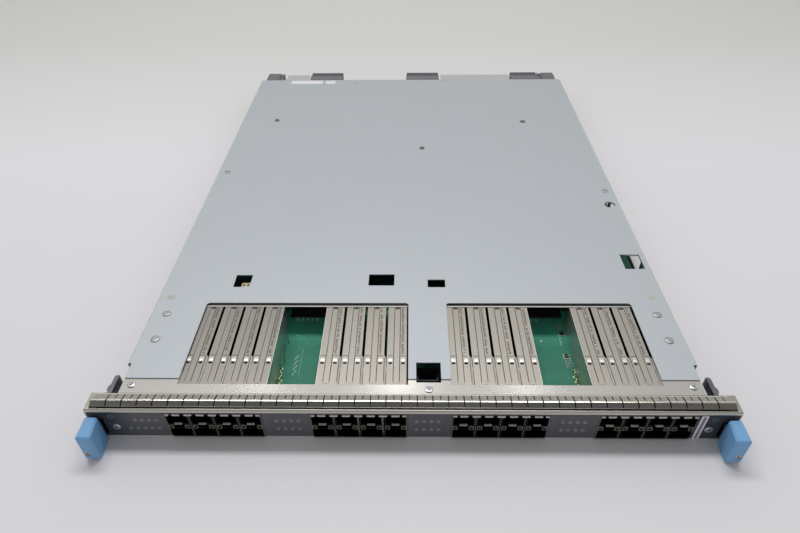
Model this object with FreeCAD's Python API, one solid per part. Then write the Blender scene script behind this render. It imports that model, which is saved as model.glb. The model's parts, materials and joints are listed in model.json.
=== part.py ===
import FreeCAD, Part
import math
import os
from FreeCAD import Vector

# A switch line card for a modular chassis: a shallow steel tray holding one large
# circuit board, sixteen stacked port cages in four groups behind the faceplate,
# a cut-out cover, plug-in connectors at the rear and two swinging ejectors.
#
# Millimetres. While it is being built, X = 0 is the middle of the faceplate,
# Y = 0 its front face with +Y towards the rear, and Z = 0 the underside.

os.makedirs("parts", exist_ok=True)

# ---------------------------------------------------------------- sizes

# Front layout: a free zone, then a group of port cages, four times over, and a
# margin. It sets the width of the whole card.
columns_per_group = 4
column_pitch = 16.25
cage_width = 14.25
status_zones = (37.65, 33.65, 30.9, 33.65)
end_margin = 12.15
ejector_overhang = 15.9

# Sheet-metal case
face_sheet = 1.2
face_bend = 0.8
face_gap = 0.4
face_top_return = 14.6
face_bottom_return = 3.0
case_sheet = 0.8
case_bend = 0.6
case_headroom = 0.2
throat_step = 2.5
throat_end = 43.0
tray_length = 547.0
tray_flange = 16.0

# Cover
cover_inset = 3.5
cover_front = 29.0
cover_rear_inset = 1.0
window_margin = 1.2
window_rear_gap = 0.3
window_corner = 2.5
small_windows = (((-145.0, -131.5), (124.0, 139.0)), ((-34.3, -13.2), (126.0, 140.0)),
                 ((14.2, 28.5), (124.0, 133.5)))
front_notch_width = 17.3
front_notch_length = 14.8
service_window_inset = 5.5
service_window_width = 16.5
service_window_y = (147.3, 166.7)
service_hole = 10.0
service_hole_inset = 10.5
service_hole_y = 243.5

# Bracket behind the faceplate
bracket_edge = 24.5
bracket_lap = 7.0
bracket_notch_gap = 2.5
cheek_gap = 0.3
cheek_rear = 4.5

# Side vents of the tray
vent_length = 46.0
vent_pitch = 53.0
vent_start_gap = 19.0
vent_low = 5.5
vent_high = 22.0

# Circuit board
board_gap = 0.7
board_thickness = 1.8
board_side_gap = 1.2
board_front = 4.0
board_tail = 9.0
board_corner = 6.0

# Port cages
cage_height = 22.9
cage_wall = 0.4
cage_overhang = 0.8
cage_rear = 105.0
port_height = 8.7
port_depth = 54.0
opening_margin = 0.5
opening_low = 2.0
rib_width = 3.9
rib_rise = 0.15
rib_front = 26.0
latch_slot_y = 44.7
latch_slot_width = 2.6
latch_slot_length = 1.6
rear_notch_width = 3.4
rear_notch_length = 2.2
spring_sheet = 0.25
spring_front = 1.6
spring_rear_gap = 2.0
spring_margin = 1.8

# Port connectors and light pipes inside the cages
connector_width = 9.6
connector_length = 18.0
connector_gap = 8.0
connector_headroom = 1.9
nose_length = 9.0
nose_width = 8.4
nose_height = 4.4
pipe_size = 1.6
pipe_rear_gap = 6.0
pipe_gap = 0.2

# Status lights in the faceplate, a block of them in each free zone
lens_width = 2.6
lens_height = 1.4
lens_pitch = 4.85
lens_columns = 4
lens_rows = (11.0, 19.6)
lens_offsets = (4.4, 0.8, -1.2, 0.0)
lens_clearance = 0.1
guide_depth = 2.0
guide_lip = 1.2
overlay_thickness = 0.25
overlay_top_inset = 2.2
overlay_bottom_inset = 2.4
overlay_inset = 1.0

# Spring gasket on the faceplate's top flange
gasket_inset = 2.9
gasket_sheet = 0.3
gasket_front = 2.4
gasket_crest = 7.2
gasket_rear = 14.2
gasket_foot = 0.8
gasket_rise = 2.15
gasket_pitch = 10.35
gasket_slot = 0.6
gasket_shift = 4.6
gasket_taper = 2.6

# Ejectors
pivot_inset = 5.9
pivot_y = 14.0
pin_diameter = 4.0
pin_head = 6.4
pin_end = 0.8
running_clearance = 0.05
lever_low = 5.6
lever_height = 14.8
lever_sheet = 1.4
lever_boss = 4.4
lever_neck = 2.8
lever_shoulder = 3.6
tongue_inset = 1.6
tongue_length = 11.0
claw_length = 23.6
claw_inset = 1.8
claw_thickness = 3.1
claw_start = 7.8
claw_chamfer = 1.2
tooth_start = 8.8
tooth_slope = 1.6
tooth_land = 3.2
tooth_height = 1.2
ear_gap = 0.3
ear_sheet = 1.2
ear_reach = 19.6
ear_overhang = 5.0
ear_throat_gap = 1.6
ear_plate_lap = 6.0
notch_side = 4.8
notch_gap = 0.6
knob_gap = 2.0
knob_length = 16.5
knob_low = 0.3
knob_height = 24.5
knob_rear_width = 8.6
knob_front_width = 10.0
knob_front_inset = 0.2
knob_round = 1.8
knob_bevel = 1.2
knob_chamfer = 2.8
knob_screw_inset = 3.7
knob_screw_z = 8.1

# Rear connectors
plug_gap = 0.4
plug_length = 24.6
plug_height = 24.6
plug_left = (66.0, 44.0)
plug_centre = (-5.7, 44.6)
plug_right = (28.9, 36.4)
plug_step = 10.0
plug_inset = 0.7
cell_pitch = 5.4
cell_width = 3.2
cell_depth = 6.0
cell_rim = 2.0
guide_width = 18.8
guide_inset = 5.1
guide_gap = 2.0
guide_rear_inset = 1.0
guide_height = 23.7
guide_chamfer = 1.6
guide_bore = 8.2
guide_bore_depth = 17.0
guide_post_gap = 1.2
guide_post_width = 3.0
guide_base = 2.6
guide_fork = 1.4
stiffener_inset = 19.0
stiffener_depth = 38.0
stiffener_sheet = 1.2
stiffener_bend = 0.8
stiffener_headroom = 0.6
stiffener_end_gap = 1.0
stiffener_plug_gap = 1.4
tongue_left = (33.5, 30.0)
tongue_right = (68.0, 93.0)

# Screws
small_head = 5.6
small_shank = 3.0
shank_clearance = 0.1
head_rise = 0.9
cover_shank = 6.0
bracket_shank = 0.9
face_shank = 6.0
knob_head = 4.4
knob_head_rise = 1.3
knob_shank = 2.2
knob_shank_length = 6.8
knob_seat = 1.6
knob_clearance = 0.2
side_screw_inset = 12.5
side_screw_rows = (66.0, 92.5)
left_screw = (10.5, 305.0)
right_screw = (9.5, 268.0)
post_screws_at = [(-160.5, 425.0), (134.0, 420.0), (13.0, 355.6)]
bracket_screw_inset = 7.3
bracket_screw_y = 23.6
middle_screw_y = 20.4
face_screw_inset = 17.4
face_screw_z = 12.3

# What stands on the board under the cover
sink_length = 84.0
sink_width = 66.0
sink_base = 3.0
sink_fin = 1.2
sink_fin_pitch = 10.8
sink_headroom = 2.0
sinks_at = ((-112.0, 232.0), (66.0, 232.0), (-112.0, 340.0), (66.0, 340.0))
chip_size = 40.0
chip_lid = 28.0
chip_height = 3.2
brick_size = (58.0, 37.0, 13.4)
brick_chamfer = 1.5
bricks_ahead = ((-140.0, 73.0), (-70.0, 73.0), (60.0, 58.0))
memory_size = (11.0, 14.0, 1.4)
memory_pitch = 14.0
memory_rows = (182.0, 288.0)
memory_count = 6
memory_first = -60.0
capacitor_diameter = 8.0
capacitor_height = 9.5
capacitor_insets = (20.5, 40.5)
capacitor_count = 3
capacitor_ahead = 78.0
capacitor_pitch = 18.0
headers_at = (((-137.0, -128.0), (128.0, 134.0), 9.0), ((-33.0, -15.0), (136.0, 141.0), 11.0),
              ((5.0, 20.0), (36.0, 48.0), 14.0), ((164.0, 184.0), (160.0, 172.0), 16.0))
header_wall = 1.0
header_floor = 2.0
spacer_across = 6.0
spacer_inset = 18.5
spacer_rows = (60.0, 200.0, 400.0, 520.0)
post_tap = 8.0

# Heights, worked out upwards from the tray's floor
board_low = case_sheet + board_gap
board_top = board_low + board_thickness
cage_top = board_top + cage_height
lower_port = board_top + cage_wall
upper_port = cage_top - cage_wall - port_height
case_height = cage_top + case_headroom + case_sheet
cover_top = case_height + case_sheet
face_height = cover_top + face_gap + face_sheet
lever_top = lever_low + lever_height
ear_low = lever_low - ear_gap - ear_sheet
ear_high = lever_top + ear_gap + ear_sheet
plug_top = board_top + plug_height
guide_top = board_top + guide_height
stiffener_top = case_height - stiffener_headroom
sink_top = case_height - sink_headroom

# Widths, worked out outwards from the front layout
group_width = (columns_per_group - 1) * column_pitch + cage_width
throat_width = sum(status_zones) + len(status_zones) * group_width + end_margin
throat_half = throat_width / 2
face_half = throat_half + ejector_overhang
tray_half = throat_half + throat_step
cover_half = tray_half - cover_inset
board_half = tray_half - case_sheet - board_side_gap
group_centres = [sum(status_zones[:i + 1]) + (i + 0.5) * group_width - throat_half
                 for i in range(len(status_zones))]
zone_centres = [centre - (group_width + zone) / 2
                for centre, zone in zip(group_centres, status_zones)]
lens_centres = [centre + offset for centre, offset in zip(zone_centres, lens_offsets)]
window_left = (group_centres[0] - group_width / 2 + window_margin,
               group_centres[1] + group_width / 2 + window_margin)
window_right = (group_centres[2] - group_width / 2,
                group_centres[3] + group_width / 2 - column_pitch + window_margin)
front_notch_x = (zone_centres[2] - front_notch_width / 2, zone_centres[2] + front_notch_width / 2)
service_window_x = (tray_half - service_window_inset - service_window_width,
                    tray_half - service_window_inset)
pivot_x = face_half - pivot_inset
claw_inner = pivot_x - claw_inset
claw_outer = claw_inner + claw_thickness
knob_rear_x = (face_half - knob_rear_width, face_half)
knob_front_x = (face_half - knob_front_inset - knob_front_width, face_half - knob_front_inset)
knob_tongue_x = (knob_rear_x[0] + tongue_inset, knob_rear_x[1] - tongue_inset)
knob_screw_x = face_half - knob_screw_inset
face_screw_x = face_half - face_screw_inset
notch_inner = pivot_x - notch_side
guide_x = (tray_half - guide_inset - guide_width, tray_half - guide_inset)
post_x = (guide_x[0] - guide_post_gap - guide_post_width, guide_x[0] - guide_post_gap)
plug_spans = ((plug_left[0] - tray_half, plug_left[0] + plug_left[1] - tray_half),
              (plug_centre[0], plug_centre[0] + plug_centre[1]),
              (tray_half - plug_right[0] - plug_right[1], tray_half - plug_right[0]))
stiffener_half = tray_half - tray_flange - stiffener_end_gap

# Lengths, worked out rearwards from the face
cover_rear = tray_length - cover_rear_inset
window_rear = cage_rear + window_rear_gap
spring_rear = port_depth - spring_rear_gap
connector_front = port_depth + connector_gap
connector_rear = connector_front + connector_length
pipe_rear = connector_rear + pipe_rear_gap
claw_reach = pivot_y + claw_length
board_rear = tray_length + board_tail
plug_front = tray_length + plug_gap
nose_rear = plug_front + plug_length
guide_front = tray_length + guide_gap
stiffener_y = tray_length - stiffener_inset
stiffener_reach = stiffener_y + stiffener_depth
handle_reach = knob_gap + knob_length
origin_y = (nose_rear - handle_reach) / 2
origin_shift = Vector(0, -origin_y, 0)

# Where the screws stand
side_screw_x = tray_half - side_screw_inset
cover_screws_at = [(side * side_screw_x, y) for y in side_screw_rows for side in (-1, 1)]
cover_screws_at += [(left_screw[0] - tray_half, left_screw[1]),
                    (tray_half - right_screw[0], right_screw[1])]
bracket_screw_x = throat_half - bracket_screw_inset
bracket_screws_at = [(-bracket_screw_x, bracket_screw_y), (zone_centres[2], middle_screw_y),
                     (bracket_screw_x, bracket_screw_y)]

nodes = {}


# ---------------------------------------------------------------- helpers

# A box from three (low, high) pairs.
def block(xs, ys, zs):
    corner = Vector(xs[0], ys[0], zs[0])
    return Part.makeBox(xs[1] - xs[0], ys[1] - ys[0], zs[1] - zs[0], corner)


# A closed wire through (u, v) or (u, v, radius) corners, each radius a tangent arc.
def roundedWire(corners, place):
    starts, edges = [], []
    count = len(corners)
    for i in range(count):
        here = Vector(corners[i][0], corners[i][1], 0)
        radius = corners[i][2] if len(corners[i]) > 2 else 0
        before = Vector(corners[i - 1][0], corners[i - 1][1], 0) - here
        after = Vector(corners[(i + 1) % count][0], corners[(i + 1) % count][1], 0) - here
        before.normalize()
        after.normalize()
        if radius <= 0:
            starts.append((here, here, None))
            continue
        half = before.getAngle(after) / 2
        reach = radius / math.tan(half)
        middle = before + after
        middle.normalize()
        nearest = here + middle * (radius / math.sin(half) - radius)
        starts.append((here + before * reach, here + after * reach, nearest))
    for i in range(count):
        enter, leave, nearest = starts[i]
        if nearest is not None:
            edges.append(Part.Arc(place(enter), place(nearest), place(leave)).toShape())
        following = starts[(i + 1) % count][0]
        if (following - leave).Length > 1e-6:
            edges.append(Part.LineSegment(place(leave), place(following)).toShape())
    return Part.Wire(edges)


# A prism of such an outline: "x" takes (y, z) corners, "y" (x, z) and "z" (x, y).
def prism(corners, axis, low, high):
    place = {"x": lambda p: Vector(low, p.x, p.y),
             "y": lambda p: Vector(p.x, low, p.y),
             "z": lambda p: Vector(p.x, p.y, low)}[axis]
    along = {"x": Vector(1, 0, 0), "y": Vector(0, 1, 0), "z": Vector(0, 0, 1)}[axis]
    return Part.Face(roundedWire(corners, place)).extrude(along * (high - low))


# The section of a folded sheet: the path is its outer side, the thickness lies to
# the left of travel, and every fold gets the inner bend radius.
def folded(path, thickness, bend):
    points = [Vector(u, v, 0) for u, v in path]
    turns = [(b - a).normalize() for a, b in zip(points, points[1:])]
    normals = [Vector(-t.y, t.x, 0) for t in turns]
    outer, inner = [(points[0].x, points[0].y)], []
    first = points[0] + normals[0] * thickness
    inner.append((first.x, first.y))
    for i in range(1, len(points) - 1):
        a, b = normals[i - 1], normals[i]
        mitre = (a + b) * (thickness / (1 + a.dot(b)))
        left_turn = turns[i - 1].cross(turns[i]).z > 0
        outer_radius = bend + thickness if left_turn else bend
        inner_radius = bend if left_turn else bend + thickness
        outer.append((points[i].x, points[i].y, outer_radius))
        inner.append((points[i].x + mitre.x, points[i].y + mitre.y, inner_radius))
    last = points[-1] + normals[-1] * thickness
    outer.append((points[-1].x, points[-1].y))
    inner.append((last.x, last.y))
    return outer + inner[::-1]


def rod(diameter, start, end):
    return Part.makeCylinder(diameter / 2, (end - start).Length, start, end - start)


# A bar with flat sides, for hexagonal spacers and for small round pieces, whose
# threads and true rounding are too fine to model. The size is across the flats.
def bar(across, sides, start, end):
    along = end - start
    along.normalize()
    side = Vector(1, 0, 0) if abs(along.x) < 0.5 else Vector(0, 1, 0)
    third = along.cross(side)
    reach = across / 2 / math.cos(math.pi / sides)
    corners = [start + side * (reach * math.cos(2 * math.pi * (i + 0.5) / sides))
               + third * (reach * math.sin(2 * math.pi * (i + 0.5) / sides)) for i in range(sides)]
    return Part.Face(Part.makePolygon(corners + corners[:1])).extrude(end - start)


def mirrored(shape):
    return shape.mirror(Vector(0, 0, 0), Vector(1, 0, 0))


def both(function):
    shape = function()
    return mirrored(shape), shape


# A low-head screw; "along" points into the work. The lobed, thread-forming shank
# is a hexagonal bar.
def screw(seat, along, head, rise, shank, length):
    shaft = bar(shank, 6, seat, seat + along * length)
    return bar(head, 8, seat - along * rise, seat).fuse(shaft).removeSplitter()


# A hole for such a screw along Z, or along Y through the faceplate.
def shank_hole(start, end):
    return bar(small_shank + 2 * shank_clearance, 6, start, end)


def column_x(group, column):
    return group_centres[group] + (column - (columns_per_group - 1) / 2) * column_pitch


# ---------------------------------------------------------------- case

# U-section tray with inward top flanges, vented side walls and a narrower throat
# at the front, where the ejector claws swing.
def bottom_tray():
    half = tray_half
    path = [(half - tray_flange, case_height), (half, case_height), (half, 0),
            (-half, 0), (-half, case_height), (tray_flange - half, case_height)]
    section = folded(path[::-1], case_sheet, case_bend)
    tray = prism(section, "y", face_bottom_return, tray_length)
    cuts = []
    for side in (-1, 1):
        outside = sorted((side * throat_half, side * (half + 1)))
        cuts.append(block(outside, (0, throat_end), (-1, case_height + 1)))
        flange = sorted((side * (half - tray_flange - 1), side * throat_half))
        cuts.append(block(flange, (0, throat_end), (case_sheet, case_height + 1)))
        wall = sorted((side * (half - 2 * case_sheet), side * (half + 1)))
        for i in range(int((tray_length - throat_end - vent_start_gap) / vent_pitch)):
            middle = throat_end + vent_start_gap + vent_length / 2 + i * vent_pitch
            ys = (middle - vent_length / 2, middle + vent_length / 2)
            cuts.append(block(wall, ys, (vent_low, vent_high)))
    return tray.cut(cuts + service_holes() + screw_holes(cover_screws_at))


# Two side openings that pass through the cover and the tray's flange.
def service_holes():
    low, high = case_height - 3 * case_sheet, cover_top + 1
    x, y = tray_half - service_hole_inset, service_hole_y
    return [block(service_window_x, service_window_y, (low, high)),
            rod(service_hole, Vector(x, y, low), Vector(x, y, high))]


def screw_holes(places):
    low, high = case_height - 3 * case_sheet, cover_top + 1
    return [shank_hole(Vector(x, y, low), Vector(x, y, high)) for x, y in places]


# Flat cover with two port windows, three small holes and a front notch.
def top_cover():
    half = cover_half
    sheet = block((-half, half), (cover_front, cover_rear), (case_height, cover_top))
    low, high = case_height - 1, cover_top + 1
    cuts = service_holes() + screw_holes(cover_screws_at + post_screws_at)
    for xs in (window_left, window_right):
        corners = [(xs[0], cover_front - 1), (xs[1], cover_front - 1),
                   (xs[1], window_rear, window_corner), (xs[0], window_rear, window_corner)]
        cuts.append(prism(corners, "z", low, high))
    cuts.append(block(front_notch_x, (cover_front - 1, cover_front + front_notch_length), (low, high)))
    for xs, ys in small_windows:
        cuts.append(block(xs, ys, (low, high)))
    return sheet.cut(cuts)


# Steel bridge behind the faceplate: a top strip that laps under the cover, and
# side cheeks cut open to the front for the ejector brackets and claws.
def front_bracket():
    half = throat_half
    path = [(-half, case_sheet), (-half, case_height), (half, case_height), (half, case_sheet)]
    section = folded(path[::-1], case_sheet, case_bend)
    bridge = prism(section, "y", face_sheet, throat_end)
    inner = half - 2 * case_sheet
    lap = cover_front + bracket_lap
    low, high = case_height - 2 * case_sheet, case_height + 1
    cuts = [block((-inner, inner), (lap, throat_end + 1), (low, high))]
    for xs in (window_left, window_right):
        cuts.append(block(xs, (bracket_edge, throat_end + 1), (low, high)))
    cuts.append(block(front_notch_x, (cover_front - bracket_notch_gap, throat_end + 1), (low, high)))
    cuts.append(block((-half - 1, half + 1), (0, throat_end - cheek_rear),
                      (ear_low - cheek_gap, ear_high + cheek_gap)))
    cuts.append(block((-half - 1, half + 1), (0, face_bottom_return + cheek_gap),
                      (0, face_sheet + face_bend + cheek_gap)))
    return bridge.cut(cuts + screw_holes(bracket_screws_at))


# ---------------------------------------------------------------- faceplate

def port_openings(ys):
    zs = (opening_low, cage_top + opening_margin)
    half = group_width / 2 + opening_margin
    return [block((x - half, x + half), ys, zs) for x in group_centres]


# The side-open notches where the ejector levers pass through the faceplate.
def lever_notches(ys, inner=notch_inner):
    zs = (lever_low - notch_gap, lever_top + notch_gap)
    outside = face_half + 1
    return [block((inner, outside), ys, zs), block((-outside, -inner), ys, zs)]


def faceplate():
    path = [(face_bottom_return, 0), (0, 0), (0, face_height), (face_top_return, face_height)]
    section = folded(path[::-1], face_sheet, face_bend)
    plate = prism(section, "x", -face_half, face_half)
    through = (-1, face_sheet + 1)
    cuts = port_openings(through) + lever_notches((-1, face_sheet + 0.5))
    for centre in lens_centres:
        half = (lens_columns - 1) / 2 * lens_pitch + lens_width / 2 + lens_clearance
        for z in lens_rows:
            zs = (z - lens_height / 2 - lens_clearance, z + lens_height / 2 + lens_clearance)
            cuts.append(block((centre - half, centre + half), through, zs))
    for side in (-1, 1):
        at = Vector(side * face_screw_x, -1, face_screw_z)
        cuts.append(shank_hole(at, at + Vector(0, face_sheet + 2, 0)))
    return plate.cut(cuts)


# Dark printed film on the front. It is open at the port groups, the levers and the
# end screws, and its light windows are clear areas in the film.
def face_overlay():
    half = face_half - overlay_inset
    ys = (-overlay_thickness, 0)
    film = block((-half, half), ys, (overlay_bottom_inset, face_height - overlay_top_inset))
    through = (-1, 1)
    cuts = port_openings(through) + lever_notches(through)
    for side in (-1, 1):
        at = Vector(side * face_screw_x, -1, face_screw_z)
        cuts.append(bar(small_head + 0.6, 8, at, at + Vector(0, 2, 0)))
    return film.cut(cuts)


# One moulded light guide behind each zone, with a light bar for each row.
def light_guides():
    guides = []
    for centre in lens_centres:
        half = (lens_columns - 1) / 2 * lens_pitch + lens_width / 2
        outer = half + guide_lip
        zs = (lens_rows[0] - lens_height / 2 - guide_lip, lens_rows[1] + lens_height / 2 + guide_lip)
        back = block((centre - outer, centre + outer), (face_sheet, face_sheet + guide_depth), zs)
        bars = [block((centre - half, centre + half), (0, face_sheet),
                      (z - lens_height / 2, z + lens_height / 2)) for z in lens_rows]
        guides.append(back.fuse(bars).removeSplitter())
    return Part.makeCompound(guides)


# Spring-finger strip along the top flange, slotted into fingers.
def emi_gasket():
    base = face_height
    top = base + gasket_rise
    foot = base + gasket_sheet
    path = [(gasket_front, foot), (gasket_front + gasket_foot, foot), (gasket_crest, top),
            (gasket_rear - gasket_foot, foot), (gasket_rear, foot)]
    section = folded(path[::-1], gasket_sheet, 0)
    half = face_half - gasket_inset
    strip = prism(section, "x", -half, half)
    cuts = []
    count = int(half / gasket_pitch)
    for i in range(-count, count):
        x = i * gasket_pitch + gasket_shift
        slot = (x - gasket_slot / 2, x + gasket_slot / 2)
        cuts.append(block(slot, (gasket_front + gasket_foot + gasket_sheet,
                                gasket_rear - gasket_foot - gasket_sheet), (base, top + 1)))
    for side in (-1, 1):
        wedge = [(side * (half + 1), gasket_crest + 2), (side * (half - gasket_taper), gasket_rear + 1),
                 (side * (half + 1), gasket_rear + 1)]
        cuts.append(prism(wedge, "z", base - 1, top + 1))
    return strip.cut(cuts)


# ---------------------------------------------------------------- board and ports

def main_board():
    half = board_half
    board = block((-half, half), (board_front, board_rear), (board_low, board_top))
    front = throat_half - 2 * case_sheet
    notches = []
    for side in (-1, 1):
        xs = sorted((side * front, side * (half + 1)))
        notches.append(block(xs, (board_front - 1, throat_end + 1.5), (0, board_top + 1)))
        at = sorted((side * (half - board_corner), side * (half + 1)))
        notches.append(block(at, (board_rear - board_corner, board_rear + 1), (0, board_top + 1)))
    return board.cut(notches)


# Two ports high, one wide: folded sheet with a channel per port, a hollow divider
# for the light pipes, and behind them one tall bay, open to the board, for the
# port connector.
def port_cage(x):
    half = cage_width / 2
    inner = (x - half + cage_wall, x + half - cage_wall)
    front = -cage_overhang
    shell = block((x - half, x + half), (front, cage_rear), (board_top, cage_top))
    rib = block((x - rib_width / 2, x + rib_width / 2), (rib_front, cage_rear),
                (cage_top, cage_top + rib_rise))
    shell = shell.fuse(rib).removeSplitter()
    divider = (lower_port + port_height + cage_wall, upper_port - cage_wall)
    bay_front, bay_rear = port_depth + cage_wall, cage_rear - cage_wall
    cuts = [block(inner, (front - 1, port_depth), (lower_port, lower_port + port_height)),
            block(inner, (front - 1, port_depth), (upper_port, upper_port + port_height)),
            block(inner, (front - 1, bay_front + 1), divider),
            block(inner, (port_depth, bay_rear), (board_top - 1, cage_top - cage_wall))]
    strip = (half + rib_width / 2) / 2
    top = (cage_top - cage_wall - 0.1, cage_top + 1)
    for side in (-1, 1):
        middle = x + side * strip
        cuts.append(block((middle - latch_slot_width / 2, middle + latch_slot_width / 2),
                          (latch_slot_y - latch_slot_length / 2,
                           latch_slot_y + latch_slot_length / 2), top))
    cuts.append(block((x - rear_notch_width / 2, x + rear_notch_width / 2),
                      (cage_rear - rear_notch_length, cage_rear + 1), top))
    return shell.cut(cuts)


# Stacked connector on the board, with a lead-in nose for each port.
def port_connector(x):
    half = connector_width / 2
    ys = (connector_front, connector_rear)
    top = cage_top - cage_wall - connector_headroom
    corners = [(ys[0], board_top), (ys[1], board_top), (ys[1], top - 3), (ys[1] - 3, top),
               (ys[0], top)]
    body = prism(corners, "x", x - half, x + half)
    noses = []
    for floor in (lower_port, upper_port):
        low = floor + (port_height - nose_height) / 2
        noses.append(block((x - nose_width / 2, x + nose_width / 2),
                           (ys[0] - nose_length, ys[0]), (low, low + nose_height)))
    return body.fuse(noses).removeSplitter()


# Bent light pipes: from the divider's front back past the connector and down to
# the board.
def light_pipes(x):
    inner = cage_width / 2 - cage_wall - pipe_gap
    low = lower_port + port_height + 2 * cage_wall
    high = low + pipe_size
    front = pipe_size / 8 - cage_overhang
    corners = [(front, low), (pipe_rear - pipe_size, low), (pipe_rear - pipe_size, board_top),
               (pipe_rear, board_top), (pipe_rear, high), (front, high)]
    return [prism(corners, "x", x + inner - pipe_size, x + inner),
            prism(corners, "x", x - inner, x - inner + pipe_size)]


# Zigzag spring strips that fill the gaps between neighbouring cages.
def cage_springs(group):
    strips = []
    gap = column_pitch - cage_width
    for column in range(columns_per_group - 1):
        left = column_x(group, column) + cage_width / 2
        steps = 4
        rise = (spring_rear - spring_front) / steps
        width = gap - spring_sheet
        wave = [(left + spring_sheet + (i % 2) * (width - spring_sheet), spring_front + i * rise)
                for i in range(steps + 1)]
        outline = [(u - spring_sheet, v) for u, v in wave]
        outline += [(u + spring_sheet, v) for u, v in wave[::-1]]
        strips.append(prism(outline, "z", board_top + spring_margin, cage_top - 0.4))
    return strips


# ---------------------------------------------------------------- ejectors

# Folded lever: a channel with its spine on the card's side, a boss at the pivot,
# a toothed claw behind and a solid tongue that the knob grips.
def ejector_lever():
    front = -knob_gap
    inner, outer = pivot_x - lever_shoulder, pivot_x + lever_shoulder
    tongue, tip = knob_tongue_x, front - tongue_length
    claw = pivot_y + claw_start
    crest = pivot_y + tooth_start + tooth_slope
    rear = crest + tooth_land + tooth_slope
    outline = [(tongue[0], tip), (tongue[1], tip), (tongue[1], front), (outer, front),
               (outer, pivot_y - lever_boss), (pivot_x + lever_boss, pivot_y - lever_neck),
               (pivot_x + lever_boss, pivot_y + lever_neck), (claw_outer, claw),
               (claw_outer, crest - tooth_slope), (claw_outer + tooth_height, crest),
               (claw_outer + tooth_height, crest + tooth_land), (claw_outer, rear),
               (claw_outer, claw_reach - claw_chamfer), (claw_outer - claw_chamfer, claw_reach),
               (claw_inner, claw_reach), (claw_inner, claw),
               (pivot_x - lever_boss, pivot_y + lever_neck),
               (pivot_x - lever_boss, pivot_y - lever_neck),
               (inner, pivot_y - lever_boss), (inner, front), (tongue[0], front)]
    body = prism(outline, "z", lever_low, lever_top)
    webs = (lever_low + lever_sheet, lever_top - lever_sheet)
    spine = pivot_x - lever_boss + lever_sheet
    pocket = [(spine, pivot_y - lever_boss - lever_sheet),
              (face_half + 1, pivot_y - lever_boss - lever_sheet), (face_half + 1, claw_reach + 1),
              (claw_inner + lever_sheet, claw_reach + 1),
              (claw_inner + lever_sheet, claw - lever_sheet), (spine, pivot_y + lever_neck)]
    bore = rod(pin_diameter + 2 * running_clearance, Vector(pivot_x, pivot_y, lever_low - 1),
               Vector(pivot_x, pivot_y, lever_top + 1))
    thread_end = Vector(knob_screw_x, front - knob_gap, knob_screw_z)
    thread = bar(knob_shank + 2 * shank_clearance, 6, Vector(knob_screw_x, tip - 1, knob_screw_z), thread_end)
    return body.cut([prism(pocket, "z", *webs), bore, thread])


# Moulded grip, a little wider at its free end, with rounded front corners, a bevelled
# top, its lower front edge cut off and a pocket for the lever.
def ejector_knob():
    rear, front = -knob_gap, -knob_gap - knob_length
    high = knob_low + knob_height
    plan = [(knob_rear_x[0], rear), (knob_front_x[0], front), (knob_front_x[1], front),
            (knob_rear_x[1], rear)]
    side = [(rear, knob_low), (front + knob_chamfer, knob_low), (front, knob_low + knob_chamfer),
            (front, high), (rear, high)]
    grip = prism(plan, "z", knob_low, high).common(prism(side, "x", knob_front_x[0] - 1, face_half))
    corners = [e for e in grip.Edges
               if e.BoundBox.YMax < rear - 0.1 and e.BoundBox.ZLength > knob_height / 2]
    grip = grip.makeFillet(knob_round, corners)
    rim = [e for e in grip.Edges if e.BoundBox.ZMin > high - 0.1 and e.BoundBox.YMin < rear - 0.1]
    grip = grip.makeChamfer(knob_bevel, rim)
    pocket = block(knob_tongue_x, (rear - tongue_length, rear + 1), (lever_low, lever_top))
    head = Vector(knob_screw_x, front + knob_seat, knob_screw_z)
    seat = bar(knob_head + 2 * knob_clearance, 16, head - Vector(0, 4, 0), head)
    hole = bar(knob_shank + 2 * knob_clearance, 6, head - Vector(0, 1, 0), head + Vector(0, 8, 0))
    return grip.cut([pocket, seat, hole])


def knob_screw():
    front = -knob_gap - knob_length
    head = Vector(knob_screw_x, front + knob_seat, knob_screw_z)
    return screw(head, Vector(0, 1, 0), knob_head, knob_head_rise, knob_shank, knob_shank_length)


# Folded bracket on the back of the faceplate, whose two ears carry the pin.
def ejector_bracket():
    low, high = ear_low, ear_high
    path = [(ear_reach, low), (face_sheet, low), (face_sheet, high), (ear_reach, high)]
    section = folded(path[::-1], ear_sheet, 0)
    plate_inner, ear_inner = throat_half - ear_plate_lap, throat_half + ear_throat_gap
    folded_plate = prism(section, "x", plate_inner, pivot_x + ear_overhang)
    behind = face_sheet + ear_sheet + cheek_gap
    cuts = [block((plate_inner - 1, ear_inner), (behind, ear_reach + 1), (low - 1, high + 1)),
            block((notch_inner, face_half + 1), (0, face_sheet + ear_sheet + 0.5),
                  (lever_low - ear_gap, lever_top + ear_gap))]
    for z in (low, high - ear_sheet):
        cuts.append(rod(pin_diameter, Vector(pivot_x, pivot_y, z - 1),
                        Vector(pivot_x, pivot_y, z + ear_sheet + 1)))
    at = Vector(face_screw_x, 0, face_screw_z)
    cuts.append(shank_hole(at, at + Vector(0, face_sheet + ear_sheet + 1, 0)))
    trim = ear_sheet + ear_gap
    inner_low = block((plate_inner - 1, ear_inner), (0, behind), (low - 1, low + trim))
    inner_high = block((plate_inner - 1, ear_inner), (0, behind), (high - trim, high + 1))
    return folded_plate.cut(cuts + [inner_low, inner_high])


def ejector_pin():
    low, high = ear_low, ear_high
    shank = rod(pin_diameter, Vector(pivot_x, pivot_y, low - pin_end), Vector(pivot_x, pivot_y, high))
    head = bar(pin_head, 10, Vector(pivot_x, pivot_y, high),
               Vector(pivot_x, pivot_y, high + pin_end))
    return shank.fuse(head).removeSplitter()


# ---------------------------------------------------------------- rear

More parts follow.
